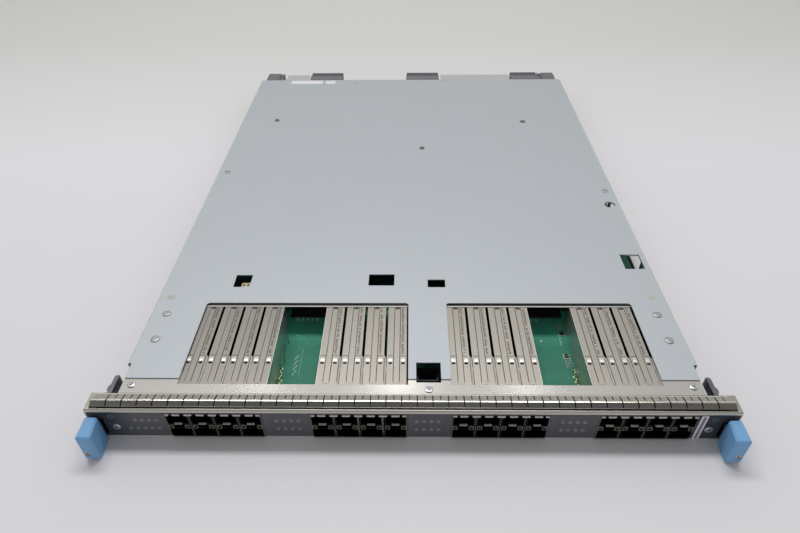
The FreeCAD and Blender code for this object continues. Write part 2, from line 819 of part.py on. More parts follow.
# Backplane plug: a base on the board's edge and a stepped nose full of contact cells.
def backplane_plug(span):
    low, high = span
    body = block(span, (plug_front, nose_rear - plug_step), (board_top, plug_top))
    nose = block((low + plug_inset, high - plug_inset), (nose_rear - plug_step, nose_rear),
                 (board_top + plug_inset, plug_top - plug_inset))
    plug = body.fuse(nose).removeSplitter()
    count = int((high - low - 2 * plug_inset - cell_rim) / cell_pitch)
    cells = []
    for i in range(count):
        x = (low + high) / 2 + (i - (count - 1) / 2) * cell_pitch
        cells.append(block((x - cell_width / 2, x + cell_width / 2),
                           (nose_rear - cell_depth, nose_rear + 1),
                           (board_top + cell_rim, plug_top - plug_inset - cell_rim)))
    return plug.cut(cells)


# Guide block with a bore for the chassis pin and a forked keying post.
def guide_block():
    low, high = guide_x
    centre = (low + high) / 2
    middle = (board_top + guide_top) / 2
    outline = [(low, board_top), (high, board_top), (high, guide_top - guide_chamfer),
               (high - guide_chamfer, guide_top), (low + guide_chamfer, guide_top),
               (low, guide_top - guide_chamfer)]
    rear_face = nose_rear - guide_rear_inset
    body = prism(outline, "y", guide_front, rear_face)
    base = block((post_x[0], low), (guide_front, board_rear), (board_top, board_top + guide_base))
    post = block(post_x, (guide_front, rear_face), (board_top, guide_top))
    fork_middle = sum(post_x) / 2
    fork = block((fork_middle - guide_fork / 2, fork_middle + guide_fork / 2),
                 (board_rear + guide_base, nose_rear), (0, guide_top + 1))
    rear = Vector(centre, rear_face, middle)
    bore = rod(guide_bore, rear - Vector(0, guide_bore_depth, 0), rear + Vector(0, 1, 0))
    return body.fuse([base, post]).removeSplitter().cut([bore, fork])


# Angle across the rear of the board, with tongues showing between the plugs.
def rear_stiffener():
    path = [(stiffener_y, board_top), (stiffener_y, stiffener_top), (stiffener_reach, stiffener_top)]
    section = folded(path[::-1], stiffener_sheet, stiffener_bend)
    half = stiffener_half
    angle = prism(section, "x", -half, half)
    behind = (plug_front - stiffener_plug_gap, stiffener_reach + 1)
    left, right = tongue_left[0] - tray_half, tray_half - tongue_right[0]
    edges = (-half - 1, left, left + tongue_left[1], right - tongue_right[1], right, half + 1)
    cuts = [block((edges[i], edges[i + 1]), behind, (0, stiffener_top + 1)) for i in (0, 2, 4)]
    return angle.cut(cuts)


# ---------------------------------------------------------------- board parts

# Extruded heat sink whose fins follow the side-to-side air flow.
def heat_sink(place):
    x, y = place
    base_low = board_top + chip_height
    half = sink_length / 2
    count = int(sink_width / sink_fin_pitch)
    sink = block((x - half, x + half), (y - sink_width / 2, y + sink_width / 2),
                 (base_low, sink_top))
    channels = []
    for i in range(count):
        middle = y + (i - (count - 1) / 2) * sink_fin_pitch
        channels.append(block((x - half - 1, x + half + 1),
                              (middle - (sink_fin_pitch - sink_fin) / 2,
                               middle + (sink_fin_pitch - sink_fin) / 2),
                              (base_low + sink_base, sink_top + 1)))
    return sink.cut(channels)


def processor(place):
    x, y = place
    half = chip_size / 2
    lid = chip_lid / 2
    base = block((x - half, x + half), (y - half, y + half), (board_top, board_top + chip_height / 2))
    cap = block((x - lid, x + lid), (y - lid, y + lid),
                (board_top + chip_height / 2, board_top + chip_height))
    return base.fuse(cap).removeSplitter()


# Potted converter with a chamfered lid. Its place is across, and ahead of the rear
# stiffener.
def power_brick(place):
    x, y = place[0], stiffener_y - place[1]
    length, width, height = brick_size
    low, high = board_top, board_top + height
    outline = [(y - width / 2, low), (y + width / 2, low), (y + width / 2, high - brick_chamfer),
               (y + width / 2 - brick_chamfer, high), (y - width / 2 + brick_chamfer, high),
               (y - width / 2, high - brick_chamfer)]
    return prism(outline, "x", x - length / 2, x + length / 2)


def memory_chips():
    length, width, height = memory_size
    chips = []
    for row in memory_rows:
        for i in range(memory_count):
            x = memory_first + i * memory_pitch
            chips.append(block((x - length / 2, x + length / 2), (row - width / 2, row + width / 2),
                               (board_top, board_top + height)))
    return Part.makeCompound(chips)


def capacitors():
    cans = []
    for x in (capacitor_insets[0] - board_half, board_half - capacitor_insets[1]):
        for i in range(capacitor_count):
            foot = Vector(x, stiffener_y - capacitor_ahead + i * capacitor_pitch, board_top)
            cans.append(bar(capacitor_diameter, 8, foot, foot + Vector(0, 0, capacitor_height)))
    return Part.makeCompound(cans)


# The small headers that can be reached through the cover's holes.
def board_headers():
    headers = []
    for xs, ys, height in headers_at:
        shell = block(xs, ys, (board_top, board_top + height))
        cavity = block((xs[0] + header_wall, xs[1] - header_wall),
                       (ys[0] + header_wall, ys[1] - header_wall),
                       (board_top + header_floor, board_top + height + 1))
        headers.append(shell.cut(cavity))
    return Part.makeCompound(headers)


def standoff_places():
    places = list(post_screws_at)
    for y in spacer_rows:
        places += [(spacer_inset - board_half, y), (board_half - spacer_inset, y)]
    return places


# Spacers between tray and board, also under the posts that carry the cover.
def board_spacers():
    spacers = []
    for x, y in standoff_places():
        spacers.append(bar(spacer_across, 6, Vector(x, y, case_sheet), Vector(x, y, board_low)))
    return Part.makeCompound(spacers)


def cover_posts():
    posts = []
    for x, y in post_screws_at:
        post = bar(spacer_across, 6, Vector(x, y, board_top), Vector(x, y, case_height))
        tapped = shank_hole(Vector(x, y, case_height - post_tap), Vector(x, y, case_height + 1))
        posts.append(post.cut(tapped))
    return Part.makeCompound(posts)


# ---------------------------------------------------------------- all nodes

nodes["bottom_tray"] = bottom_tray()
nodes["top_cover"] = top_cover()
nodes["front_bracket"] = front_bracket()
nodes["faceplate"] = faceplate()
nodes["face_overlay"] = face_overlay()
nodes["light_guides"] = light_guides()
nodes["emi_gasket"] = emi_gasket()
nodes["main_board"] = main_board()

number = 0
pipes, springs = [], []
for group in range(len(group_centres)):
    connectors = []
    for column in range(columns_per_group):
        number += 1
        x = column_x(group, column)
        nodes["port_cage_%02d" % number] = port_cage(x)
        connectors.append(port_connector(x))
        pipes += light_pipes(x)
    nodes["port_connectors_%d" % (group + 1)] = Part.makeCompound(connectors)
    springs += cage_springs(group)
nodes["light_pipes"] = Part.makeCompound(pipes)
nodes["cage_springs"] = Part.makeCompound(springs)

for name, function in (("ejector_lever", ejector_lever), ("ejector_knob", ejector_knob),
                       ("ejector_bracket", ejector_bracket), ("ejector_pin", ejector_pin),
                       ("guide_block", guide_block), ("knob_screw", knob_screw)):
    nodes[name + "_left"], nodes[name + "_right"] = both(function)

for name, span in zip(("left", "centre", "right"), plug_spans):
    nodes["backplane_plug_" + name] = backplane_plug(span)
nodes["rear_stiffener"] = rear_stiffener()

nodes["processors"] = Part.makeCompound([processor(place) for place in sinks_at])
nodes["heat_sinks"] = Part.makeCompound([heat_sink(place) for place in sinks_at])
nodes["power_bricks"] = Part.makeCompound([power_brick(place) for place in bricks_ahead])
nodes["memory_chips"] = memory_chips()
nodes["capacitors"] = capacitors()
nodes["board_headers"] = board_headers()
nodes["board_spacers"] = board_spacers()
nodes["cover_posts"] = cover_posts()

down = Vector(0, 0, -1)
cover_seats = [Vector(x, y, cover_top) for x, y in cover_screws_at + post_screws_at]
nodes["cover_screws"] = Part.makeCompound([screw(at, down, small_head, head_rise, small_shank,
                                                 cover_shank)
                                           for at in cover_seats])
bracket_seats = [Vector(x, y, case_height) for x, y in bracket_screws_at]
nodes["bracket_screws"] = Part.makeCompound([screw(at, down, small_head, head_rise, small_shank,
                                                   bracket_shank)
                                             for at in bracket_seats])
face_seats = [Vector(side * face_screw_x, 0, face_screw_z) for side in (-1, 1)]
nodes["face_screws"] = Part.makeCompound([screw(at, Vector(0, 1, 0), small_head, head_rise,
                                                small_shank, face_shank)
                                                for at in face_seats])

for name, shape in nodes.items():
    shape.translate(origin_shift)
    shape.exportStep("parts/%s.step" % name)
print(len(nodes), "nodes,", sum(len(shape.Solids) for shape in nodes.values()), "solids")
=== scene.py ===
import bpy
import json
import math
import numpy as np
from mathutils import Matrix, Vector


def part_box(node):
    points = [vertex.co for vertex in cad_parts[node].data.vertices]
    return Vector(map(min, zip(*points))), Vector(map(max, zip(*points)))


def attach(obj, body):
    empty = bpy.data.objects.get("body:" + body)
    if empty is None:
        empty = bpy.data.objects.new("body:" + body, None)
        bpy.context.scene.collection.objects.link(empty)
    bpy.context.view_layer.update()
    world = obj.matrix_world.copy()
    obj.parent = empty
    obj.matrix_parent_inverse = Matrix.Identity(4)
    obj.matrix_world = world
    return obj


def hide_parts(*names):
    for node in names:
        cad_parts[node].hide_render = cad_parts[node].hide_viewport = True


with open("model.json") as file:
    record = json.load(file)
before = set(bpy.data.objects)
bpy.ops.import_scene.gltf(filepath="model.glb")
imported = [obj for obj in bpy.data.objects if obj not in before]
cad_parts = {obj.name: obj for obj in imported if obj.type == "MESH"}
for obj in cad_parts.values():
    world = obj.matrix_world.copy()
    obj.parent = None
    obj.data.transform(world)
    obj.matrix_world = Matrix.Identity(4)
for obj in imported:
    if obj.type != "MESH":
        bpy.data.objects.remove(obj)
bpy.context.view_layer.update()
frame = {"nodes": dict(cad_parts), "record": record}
nodes = frame["nodes"]
slotOf = {piece["node"]: piece["material_slot"] for piece in frame["record"]["subparts"]}
mm = 0.001
looks = {}                             # every material by its name

faceLow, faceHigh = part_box("faceplate")
faceY = faceLow.y                      # front of the faceplate
faceEnd = faceHigh.x
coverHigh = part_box("top_cover")[1]
cageNames = sorted(name for name in nodes if name.startswith("port_cage_"))
cageX = np.array([sum(corner.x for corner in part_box(name)) / 2 for name in cageNames])
cageLow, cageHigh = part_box(cageNames[0])
cagePitch = cageX[1] - cageX[0]
cageWidth = cageHigh.x - cageLow.x
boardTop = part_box("port_connectors_1")[0].z
groupX = cageX.reshape(4, 4).mean(1)   # middle of each group of four cages
groupHalf = 1.5 * cagePitch + cageWidth / 2
gapX = [middle + (k - 2) * cagePitch for middle in groupX for k in (1, 2, 3)]
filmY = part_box("face_overlay")[0].y    # front of the printed film
print("frame loaded:", len(nodes), "nodes")


# A new object for a mesh, a lamp or the camera, linked to the scene.
def linked(name, data):
    holder = bpy.data.objects.new(name, data)
    bpy.context.scene.collection.objects.link(holder)
    return holder


# A mesh object from corner and face arrays, in one material.
def meshObject(name, corners, faces, material, smooth=False):
    mesh = bpy.data.meshes.new(name)
    mesh.from_pydata(np.asarray(corners, float).tolist(), [], np.asarray(faces).tolist())
    mesh.validate()
    mesh.polygons.foreach_set("use_smooth", [smooth] * len(mesh.polygons))
    mesh.materials.append(looks[material])
    return linked(name, mesh)


# A mesh object that rides a body and has its finish.
def makePiece(name, corners, faces, material, slot, body="card", smooth=False):
    piece = meshObject(name, corners, faces, material, smooth)
    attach(piece, body)
    return piece


# Quad indices of a rows by columns grid; a mask of cells leaves holes in it.
def gridFaces(rows, columns, closeRows=False, closeColumns=False, keep=None):
    r = np.arange(rows if closeRows else rows - 1)
    c = np.arange(columns if closeColumns else columns - 1)
    rr, cc = np.meshgrid(r, c, indexing="ij")
    r2, c2 = (rr + 1) % rows, (cc + 1) % columns
    quads = np.stack([rr * columns + cc, rr * columns + c2,
                      r2 * columns + c2, r2 * columns + cc], -1)
    return quads[keep[: len(r), : len(c)]] if keep is not None else quads.reshape(-1, 4)


# The same corners and faces again at each offset, as one pair of arrays.
def repeated(corners, faces, offsets):
    offsets = np.asarray(offsets, float).reshape(-1, 3)
    allCorners = (corners[None] + offsets[:, None]).reshape(-1, 3)
    steps = np.arange(len(offsets))[:, None, None] * len(corners)
    return allCorners, (np.asarray(faces)[None] + steps).reshape(-1, np.asarray(faces).shape[1])


# Two places for every centre: a reach below it and a reach above.
def bothSides(centres, reach):
    return [x + side * reach for x in centres for side in (-1, 1)]


# One piece that holds a shape at each of its places.
def placeCopies(name, shape, places, material, slot, **finish):
    return makePiece(name, *repeated(*shape, places), material, slot, **finish)


# Corners of a CAD node's mesh, a row for each.
def meshPoints(name):
    mesh = nodes[name].data
    points = np.empty(len(mesh.vertices) * 3)
    mesh.vertices.foreach_get("co", points)
    return points.reshape(-1, 3)


# Outline of the superellipse |x|^n + |y|^n = 1, a point at each even step of angle.
def roundedOutline(power, sides):
    angle = np.linspace(0, 2 * np.pi, sides, endpoint=False)
    ca, sa = np.cos(angle), np.sin(angle)
    return np.sign(ca) * np.abs(ca) ** (2 / power), np.sign(sa) * np.abs(sa) ** (2 / power)


# A low pad with rounded plan and bevelled rim: ring k is the superellipse
# |x/a|^n + |y/b|^n = 1 drawn in by k, its height following a quarter circle. Width,
# length, height and rim are given in mm.
def padShape(width, length, height, power, rim=0.05, sides=24, rings=4):
    width, length, height, rim = (side * mm for side in (width, length, height, rim))
    px, py = roundedOutline(power, sides)
    t = np.linspace(0, np.pi / 2, rings)
    inset = rim * (1 - np.cos(t))
    z = height * np.sin(t)
    x = (width / 2 - inset)[:, None] * px[None]
    y = (length / 2 - inset)[:, None] * py[None]
    ring = np.stack([x, y, np.repeat(z[:, None], sides, 1)], -1).reshape(-1, 3)
    corners = np.concatenate([ring, [[0, 0, height]]])
    last = (rings - 1) * sides
    k = np.arange(0, sides, 2)
    cap = np.stack([last + k, last + (k + 1) % sides, last + (k + 2) % sides,
                    np.full(len(k), len(corners) - 1)], -1)
    return corners, np.concatenate([gridFaces(rings, sides, closeColumns=True), cap])


# Turned so that a pad's up side faces the front of the card.
def facingFront(shape):
    corners, faces = shape
    return np.stack([corners[:, 0], -corners[:, 2], corners[:, 1]], -1), faces


# A ribbon: a profile of (y, z) points swept straight along x between two ends.
def ribbonShape(profile, width, columns=4):
    x = np.linspace(-width / 2, width / 2, columns)
    y = np.repeat(profile[:, :1], columns, 1)
    z = np.repeat(profile[:, 1:], columns, 1)
    corners = np.stack([np.repeat(x[None], len(profile), 0), y, z], -1).reshape(-1, 3)
    return corners, gridFaces(len(profile), columns)


# A rectangular ring: each of its four loops (outer back, outer front, inner front,
# inner back) is a superellipse drawn in by the loop's inset, and they join round.
def frameShape(width, height, band, depth, power=8.0, sides=20):
    px, pz = roundedOutline(power, sides)
    loops = [(0, depth), (0, 0), (band, 0), (band, depth)]
    rows = [np.stack([(width / 2 - inset) * px, np.full(sides, y), (height / 2 - inset) * pz], -1)
            for inset, y in loops]
    return np.concatenate(rows), gridFaces(4, sides, closeRows=True, closeColumns=True)


# Low pads on one level. Each row gives a name, a look, a slot, then in mm the width,
# length and height, then power, rim, sides and rings, and last the places in mm from
# the middle of the face.
def placePads(level, rows):
    for name, look, slot, size, (power, rim, sides, rings), places in rows:
        pad = padShape(*size, power, rim, sides, rings)
        seats = [(x * mm, faceY + y * mm, level) for x, y in places]
        placeCopies(name, pad, seats, look, slot)


# Gives a thin sheet its thickness, behind the face it was drawn as.
def solidify(piece, thickness):
    wall = piece.modifiers.new("wall", "SOLIDIFY")
    wall.thickness = thickness
    wall.offset = -1.0


# A shader node with its settings, and its inputs linked or set.
def addNode(tree, kind, inputs=None, **settings):
    node = tree.nodes.new(kind)
    for name, value in settings.items():
        setattr(node, name, value)
    for name, value in (inputs or {}).items():
        socket = node.inputs[name]
        if isinstance(value, bpy.types.NodeSocket):
            tree.links.new(value, socket)
        else:
            socket.default_value = (*value[:3], 1.0) if socket.type == "RGBA" else value
    return node


def math2(tree, operation, a, b=0.0, c=0.0):
    return addNode(tree, "ShaderNodeMath", {0: a, 1: b, 2: c}, operation=operation).outputs[0]


def mixColour(tree, factor, a, b, blend="MIX"):
    inputs = {0: factor, 6: a, 7: b}
    return addNode(tree, "ShaderNodeMix", inputs, data_type="RGBA", blend_type=blend).outputs[2]


# A value's span from start to end, stretched to run from low to high.
def rangeTo(tree, value, low, high, start=0.0, end=1.0, kind="LINEAR"):
    inputs = {"Value": value, "From Min": start, "From Max": end, "To Min": low, "To Max": high}
    return addNode(tree, "ShaderNodeMapRange", inputs, interpolation_type=kind).outputs["Result"]


# 1 where an Object coordinate lies between two places, else 0.
def between(tree, value, low, high):
    above = math2(tree, "GREATER_THAN", value, low)
    below = math2(tree, "LESS_THAN", value, high)
    return math2(tree, "MULTIPLY", above, below)


def objectCoords(tree):
    return addNode(tree, "ShaderNodeTexCoord").outputs["Object"]


def objectAxes(tree):
    return addNode(tree, "ShaderNodeSeparateXYZ", {"Vector": objectCoords(tree)}).outputs


def noiseOn(tree, coords, scale, detail, roughness=0.5):
    inputs = {"Vector": coords, "Scale": scale, "Detail": detail, "Roughness": roughness}
    return addNode(tree, "ShaderNodeTexNoise", inputs).outputs["Fac"]


# A node group with one mask, which a function makes from the Object coordinates and
# the group's own inputs.
def maskGroup(name, inputs, makeMask):
    group = bpy.data.node_groups.new(name, "ShaderNodeTree")
    for socketName, default in inputs.items():
        kind = "NodeSocketVector" if isinstance(default, tuple) else "NodeSocketFloat"
        socket = group.interface.new_socket(socketName, in_out="INPUT", socket_type=kind)
        socket.default_value = default
    group.interface.new_socket("Mask", in_out="OUTPUT", socket_type="NodeSocketFloat")
    given = group.nodes.new("NodeGroupInput").outputs
    mask = makeMask(group, objectCoords(group), given)
    group.links.new(mask, group.nodes.new("NodeGroupOutput").inputs["Mask"])
    return group


# Streaks of rolled or brushed metal: noise on coordinates stretched per axis.
def grainMask(tree, coords, given):
    scaled = addNode(tree, "ShaderNodeVectorMath", {0: coords, 1: given["Stretch"]},
                     operation="MULTIPLY")
    return noiseOn(tree, scaled.outputs[0], 1.0, given["Detail"], 0.6)


# Spangle of zinc plating: a random tone for each cell, softened by fine noise.
def spangleMask(tree, coords, given):
    cells = addNode(tree, "ShaderNodeTexVoronoi", {"Vector": coords, "Scale": given["Scale"]},
                    feature="F1")
    fine = noiseOn(tree, coords, given["Scale"], 3.0)
    tone = addNode(tree, "ShaderNodeSeparateColor", {"Color": cells.outputs["Color"]})
    mixed = math2(tree, "MULTIPLY_ADD", tone.outputs[0], 0.5, fine)
    return math2(tree, "MULTIPLY", mixed, 0.67)


# Handling marks and dust: broad, soft patches.
def handlingMask(tree, coords, given):
    centred = math2(tree, "SUBTRACT", noiseOn(tree, coords, given["Scale"], 5.0, 0.55), 0.5)
    spread = math2(tree, "MULTIPLY_ADD", centred, given["Sharpness"], 0.5)
    spread.node.use_clamp = True
    return spread


grainGroup = maskGroup("metalGrain", {"Stretch": (1, 1, 1), "Detail": 4.0}, grainMask)
spangleGroup = maskGroup("zincSpangle", {"Scale": 300.0}, spangleMask)
handlingGroup = maskGroup("handling", {"Scale": 12.0, "Sharpness": 3.0}, handlingMask)


def useGroup(tree, group, **inputs):
    return addNode(tree, "ShaderNodeGroup", inputs, node_tree=group).outputs["Mask"]


def newMaterial(name):
    material = looks[name] = bpy.data.materials.new(name)
    material.use_nodes = True
    return material.node_tree, material.node_tree.nodes["Principled BSDF"]


# Gives a material its colour and roughness, and its bump from a height.
def dress(tree, shader, colour, roughness, height, strength, distance=0.0001):
    bump = addNode(tree, "ShaderNodeBump", {"Strength": strength, "Distance": distance,
                   "Height": height})
    for name, value in (("Base Color", colour), ("Roughness", roughness),
                        ("Normal", bump.outputs["Normal"])):
        tree.links.new(value, shader.inputs[name])


# Metal with two tones of grain, a spangle and handling marks over them.
def metalMaterial(name, light, dark, roughness, stretch, bump, mark, metallic=1.0, spangle=0.0):
    tree, shader = newMaterial(name)
    grain = useGroup(tree, grainGroup, Stretch=stretch, Detail=4.0)
    handled = useGroup(tree, handlingGroup, Scale=14.0, Sharpness=2.5)
    colour = mixColour(tree, grain, dark, light)
    if spangle:
        cells = useGroup(tree, spangleGroup, Scale=spangle)
        colour = mixColour(tree, rangeTo(tree, cells, 0.0, 0.35), colour, dark)
    shade = tuple(channel * (1 - mark) for channel in dark)
    colour = mixColour(tree, rangeTo(tree, handled, 0.0, mark * 2), colour, shade)
    shader.inputs["Metallic"].default_value = metallic
    dress(tree, shader, colour, rangeTo(tree, handled, *roughness), grain, bump, 0.0002)


# Moulded or printed plastic: fine texture and soft patches.
def plasticMaterial(name, light, dark, roughness, texture=900.0, bump=0.2):
    tree, shader = newMaterial(name)
    handled = useGroup(tree, handlingGroup, Scale=40.0, Sharpness=2.0)
    grain = useGroup(tree, grainGroup, Stretch=(texture, texture, texture), Detail=2.0)
    colour = mixColour(tree, handled, dark, light)
    dress(tree, shader, colour, rangeTo(tree, grain, *roughness), grain, bump)


# Metals: lighter tone, darker tone, roughness from and to, stretch of the grain along x,
# y and z, bump and handling marks, then how metallic it is and the scale of a spangle.
metals = (
    ("caseSteel", (0.46, 0.487, 0.513), (0.44, 0.466, 0.492), (0.5, 0.56),
     (40, 9, 40), 0.04, 0.02, 0.5, 420.0),
    ("traySteel", (0.48, 0.52, 0.515), (0.45, 0.49, 0.485), (0.5, 0.56),
     (40, 9, 40), 0.04, 0.02, 0.5, 420.0),
    ("stiffenerSteel", (0.60, 0.585, 0.59), (0.54, 0.525, 0.53), (0.3, 0.4),
     (12, 900, 900), 0.05, 0.04, 0.7),
    ("bracketSteel", (0.64, 0.618, 0.58), (0.62, 0.598, 0.562), (0.2, 0.21),
     (3, 300, 300), 0.0, 0.02),
    ("faceSteel", (0.57, 0.55, 0.49), (0.53, 0.51, 0.455), (0.32, 0.38), (3, 300, 300), 0.0, 0.03),
    ("cageSteel", (0.36, 0.335, 0.297), (0.30, 0.28, 0.247), (0.36, 0.46),
     (900, 30, 900), 0.12, 0.06),
    ("springSteel", (0.66, 0.645, 0.58), (0.56, 0.545, 0.485), (0.2, 0.28),
     (60, 500, 500), 0.03, 0.06),
    ("mouthSteel", (0.60, 0.56, 0.55), (0.50, 0.46, 0.455), (0.3, 0.4),
     (60, 500, 500), 0.03, 0.06, 0.8),
    ("leverSteel", (0.26, 0.265, 0.29), (0.14, 0.145, 0.165), (0.2, 0.3),
     (300, 300, 30), 0.1, 0.15),
    ("ribSteel", (0.31, 0.288, 0.25), (0.255, 0.238, 0.205), (0.36, 0.46),
     (900, 30, 900), 0.12, 0.06),
    ("tabSteel", (0.60, 0.58, 0.53), (0.50, 0.48, 0.44), (0.34, 0.44),
     (60, 500, 500), 0.03, 0.06, 0.7),
    ("gasketSteel", (0.60, 0.585, 0.525), (0.50, 0.485, 0.43), (0.2, 0.28),
     (60, 500, 500), 0.03, 0.06),
    ("screwSteel", (0.58, 0.58, 0.58), (0.42, 0.42, 0.42), (0.3, 0.4), (700, 700, 700), 0.1, 0.1),
    ("coverScrew", (0.40, 0.41, 0.42), (0.30, 0.31, 0.32), (0.42, 0.5),
     (700, 700, 700), 0.05, 0.08),
    ("darkScrew", (0.20, 0.20, 0.22), (0.12, 0.12, 0.13), (0.35, 0.5), (700, 700, 700), 0.1, 0.1),
    ("sinkAluminium", (0.70, 0.71, 0.72), (0.55, 0.56, 0.57), (0.3, 0.42),
     (8, 900, 900), 0.15, 0.08),
    ("canAluminium", (0.68, 0.68, 0.70), (0.5, 0.5, 0.52), (0.25, 0.4), (500, 500, 40), 0.1, 0.1),
    ("brass", (0.70, 0.56, 0.26), (0.5, 0.38, 0.16), (0.25, 0.4), (600, 600, 60), 0.1, 0.1),
    ("goldPads", (0.72, 0.60, 0.25), (0.55, 0.45, 0.2), (0.25, 0.4), (400, 400, 400), 0.05, 0.1))
# Plastics and inks: lighter tone, darker tone, roughness from and to, texture and bump.
plastics = (
    ("knobPlastic", (0.17, 0.38, 0.645), (0.14, 0.325, 0.575), (0.34, 0.46), 1400.0, 0.12),
    ("blackPlastic", (0.016, 0.016, 0.016), (0.01, 0.01, 0.01), (0.45, 0.6)),
    ("chipPlastic", (0.03, 0.031, 0.033), (0.018, 0.018, 0.02), (0.4, 0.55)),
    ("brickPlastic", (0.045, 0.045, 0.05), (0.03, 0.03, 0.033), (0.5, 0.65)),
    ("guidePlastic", (0.15, 0.155, 0.165), (0.10, 0.105, 0.11), (0.45, 0.6)),
    ("creamPlastic", (0.70, 0.63, 0.40), (0.55, 0.48, 0.28), (0.4, 0.55)),
    ("pipePlastic", (0.05, 0.045, 0.043), (0.03, 0.027, 0.026), (0.2, 0.3)),
    ("pipeFrame", (0.19, 0.175, 0.15), (0.14, 0.13, 0.11), (0.4, 0.55)),
    ("tabPlate", (0.46, 0.44, 0.41), (0.36, 0.345, 0.32), (0.3, 0.45)),
    ("clearPlastic", (0.58, 0.58, 0.60), (0.45, 0.45, 0.47), (0.15, 0.25)),
    ("paper", (0.72, 0.70, 0.74), (0.66, 0.64, 0.68), (0.55, 0.7), 700.0),
    ("silkWhite", (0.55, 0.66, 0.58), (0.45, 0.56, 0.48), (0.5, 0.65)),
    ("printInk", (0.06, 0.055, 0.05), (0.03, 0.028, 0.025), (0.5, 0.65)),
    ("lightSpot", (0.19, 0.197, 0.24), (0.145, 0.15, 0.185), (0.3, 0.45)),
    ("spotInk", (0.13, 0.137, 0.165), (0.10, 0.106, 0.13), (0.4, 0.55)),
    ("ringInk", (0.16, 0.21, 0.26), (0.10, 0.135, 0.17), (0.4, 0.55)),
    ("beigeSeal", (0.47, 0.47, 0.42), (0.42, 0.42, 0.38), (0.45, 0.6)))
for row in metals:
    metalMaterial(*row)
for row in plastics:
    plasticMaterial(*row)


# Board headers: the left-hand one is cream, the others near black.
def headerMaterial():
    values = {"dark": (0.012, 0.016, 0.013), "edge": -0.1}
    material = looks["headerPlastic"] = looks["creamPlastic"].copy()
    material.name = "headerPlastic"
    tree = material.node_tree
    shader = tree.nodes["Principled BSDF"]
    colour = shader.inputs["Base Color"].links[0].from_socket
    others = math2(tree, "GREATER_THAN", objectAxes(tree)[0], values["edge"])
    tree.links.new(mixColour(tree, others, colour, values["dark"]), shader.inputs["Base Color"])


# Rear plugs: a dark ribbed nose behind a plain, paler base, with a parting line.
def plugMaterial():
    values = {"nose": (0.058, 0.075, 0.082), "rib": (0.035, 0.045, 0.05),
              "base": (0.155, 0.14, 0.16), "line": (0.30, 0.29, 0.31), "dust": (0.07, 0.07, 0.08),
              "ribPitch": 1.35 * mm, "ribShare": 0.4, "baseShare": 0.45}
    tree, shader = newMaterial("plugPlastic")
    low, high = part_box("backplane_plug_left")
    axes = objectAxes(tree)
    middle = low.y + (high.y - low.y) * values["baseShare"]
    stripes = math2(tree, "FRACT", math2(tree, "MULTIPLY", axes[0], 1 / values["ribPitch"]))
    ribs = math2(tree, "LESS_THAN", stripes, values["ribShare"])
    nose = mixColour(tree, ribs, values["nose"], values["rib"])
    behind = math2(tree, "GREATER_THAN", axes[1], middle)
    colour = mixColour(tree, behind, values["base"], nose)
    line = between(tree, axes[1], middle - 0.5 * mm, middle + 0.2 * mm)
    handled = useGroup(tree, handlingGroup, Scale=60.0, Sharpness=2.0)
    colour = mixColour(tree, rangeTo(tree, handled, 0.0, 0.2), colour, values["dust"])
    tree.links.new(mixColour(tree, line, colour, values["line"]), shader.inputs["Base Color"])
    tree.links.new(rangeTo(tree, handled, 0.45, 0.6), shader.inputs["Roughness"])


# Circuit board: solder mask over fine copper runs, with pale drilled vias. Painted light
# makes the mask paler towards the rear of the windows, and painted shade darkens it under the
# cover.
def boardMaterial():
    values = {"mask": (0.024, 0.195, 0.125), "paintedLightMask": (0.075, 0.46, 0.31),
              "paintedShadeMask": (0.012, 0.04, 0.028), "copper": (0.04, 0.26, 0.165),
              "via": (0.20, 0.38, 0.26), "paintedLightFrom": 80 * mm, "paintedLightTo": 98 * mm,
              "coverFrom": 122 * mm, "coverTo": 230 * mm, "coverEnd": 0.17,
              "viaScale": 330.0, "viaSize": 0.13, "viaPatch": 0.62, "runs": 0.5}
    tree, shader = newMaterial("circuitBoard")
    coords = objectCoords(tree)
    runs = addNode(tree, "ShaderNodeTexBrick", {"Vector": coords, "Scale": 140.0,
                   "Mortar Size": 0.012, "Color1": (1, 1, 1, 1), "Color2": (0.8, 0.8, 0.8, 1),
                   "Mortar": (0, 0, 0, 1)}, offset=0.35, squash=1.7)
    patches = useGroup(tree, handlingGroup, Scale=45.0, Sharpness=6.0)
    vias = addNode(tree, "ShaderNodeTexVoronoi", {"Vector": coords, "Scale": values["viaScale"]})
    near = math2(tree, "LESS_THAN", vias.outputs["Distance"], values["viaSize"])
    some = math2(tree, "GREATER_THAN", patches, values["viaPatch"])
    x, y = objectAxes(tree)[:2]
    coverStart = faceY + values["coverFrom"]
    # Painted light: from 80 to 98 mm behind the face the mask turns paler, against the shadow of
    # the cover's window edge.
    pale = rangeTo(tree, y, 0.0, 1.0, faceY + values["paintedLightFrom"], faceY + values["paintedLightTo"])
    pale = math2(tree, "MULTIPLY", pale, math2(tree, "LESS_THAN", y, coverStart))
    # Painted shade: under the cover, left of the right-hand service window, the mask turns near
    # black.
    shadedZone = between(tree, y, coverStart, faceY + values["coverTo"])
    shadedZone = math2(tree, "MULTIPLY", shadedZone, math2(tree, "LESS_THAN", x, values["coverEnd"]))
    mask = mixColour(tree, pale, values["mask"], values["paintedLightMask"])
    mask = mixColour(tree, shadedZone, mask, values["paintedShadeMask"])
    colour = mixColour(tree, rangeTo(tree, patches, 0.0, 0.55), mask, values["copper"])
    copper = math2(tree, "MULTIPLY", runs.outputs["Fac"], values["runs"])
    colour = mixColour(tree, copper, colour, values["copper"])
    colour = mixColour(tree, math2(tree, "MULTIPLY", near, some), colour, values["via"])
    shader.inputs["Specular IOR Level"].default_value = 0.3
    dress(tree, shader, colour, rangeTo(tree, patches, 0.42, 0.55), runs.outputs["Fac"], 0.2)


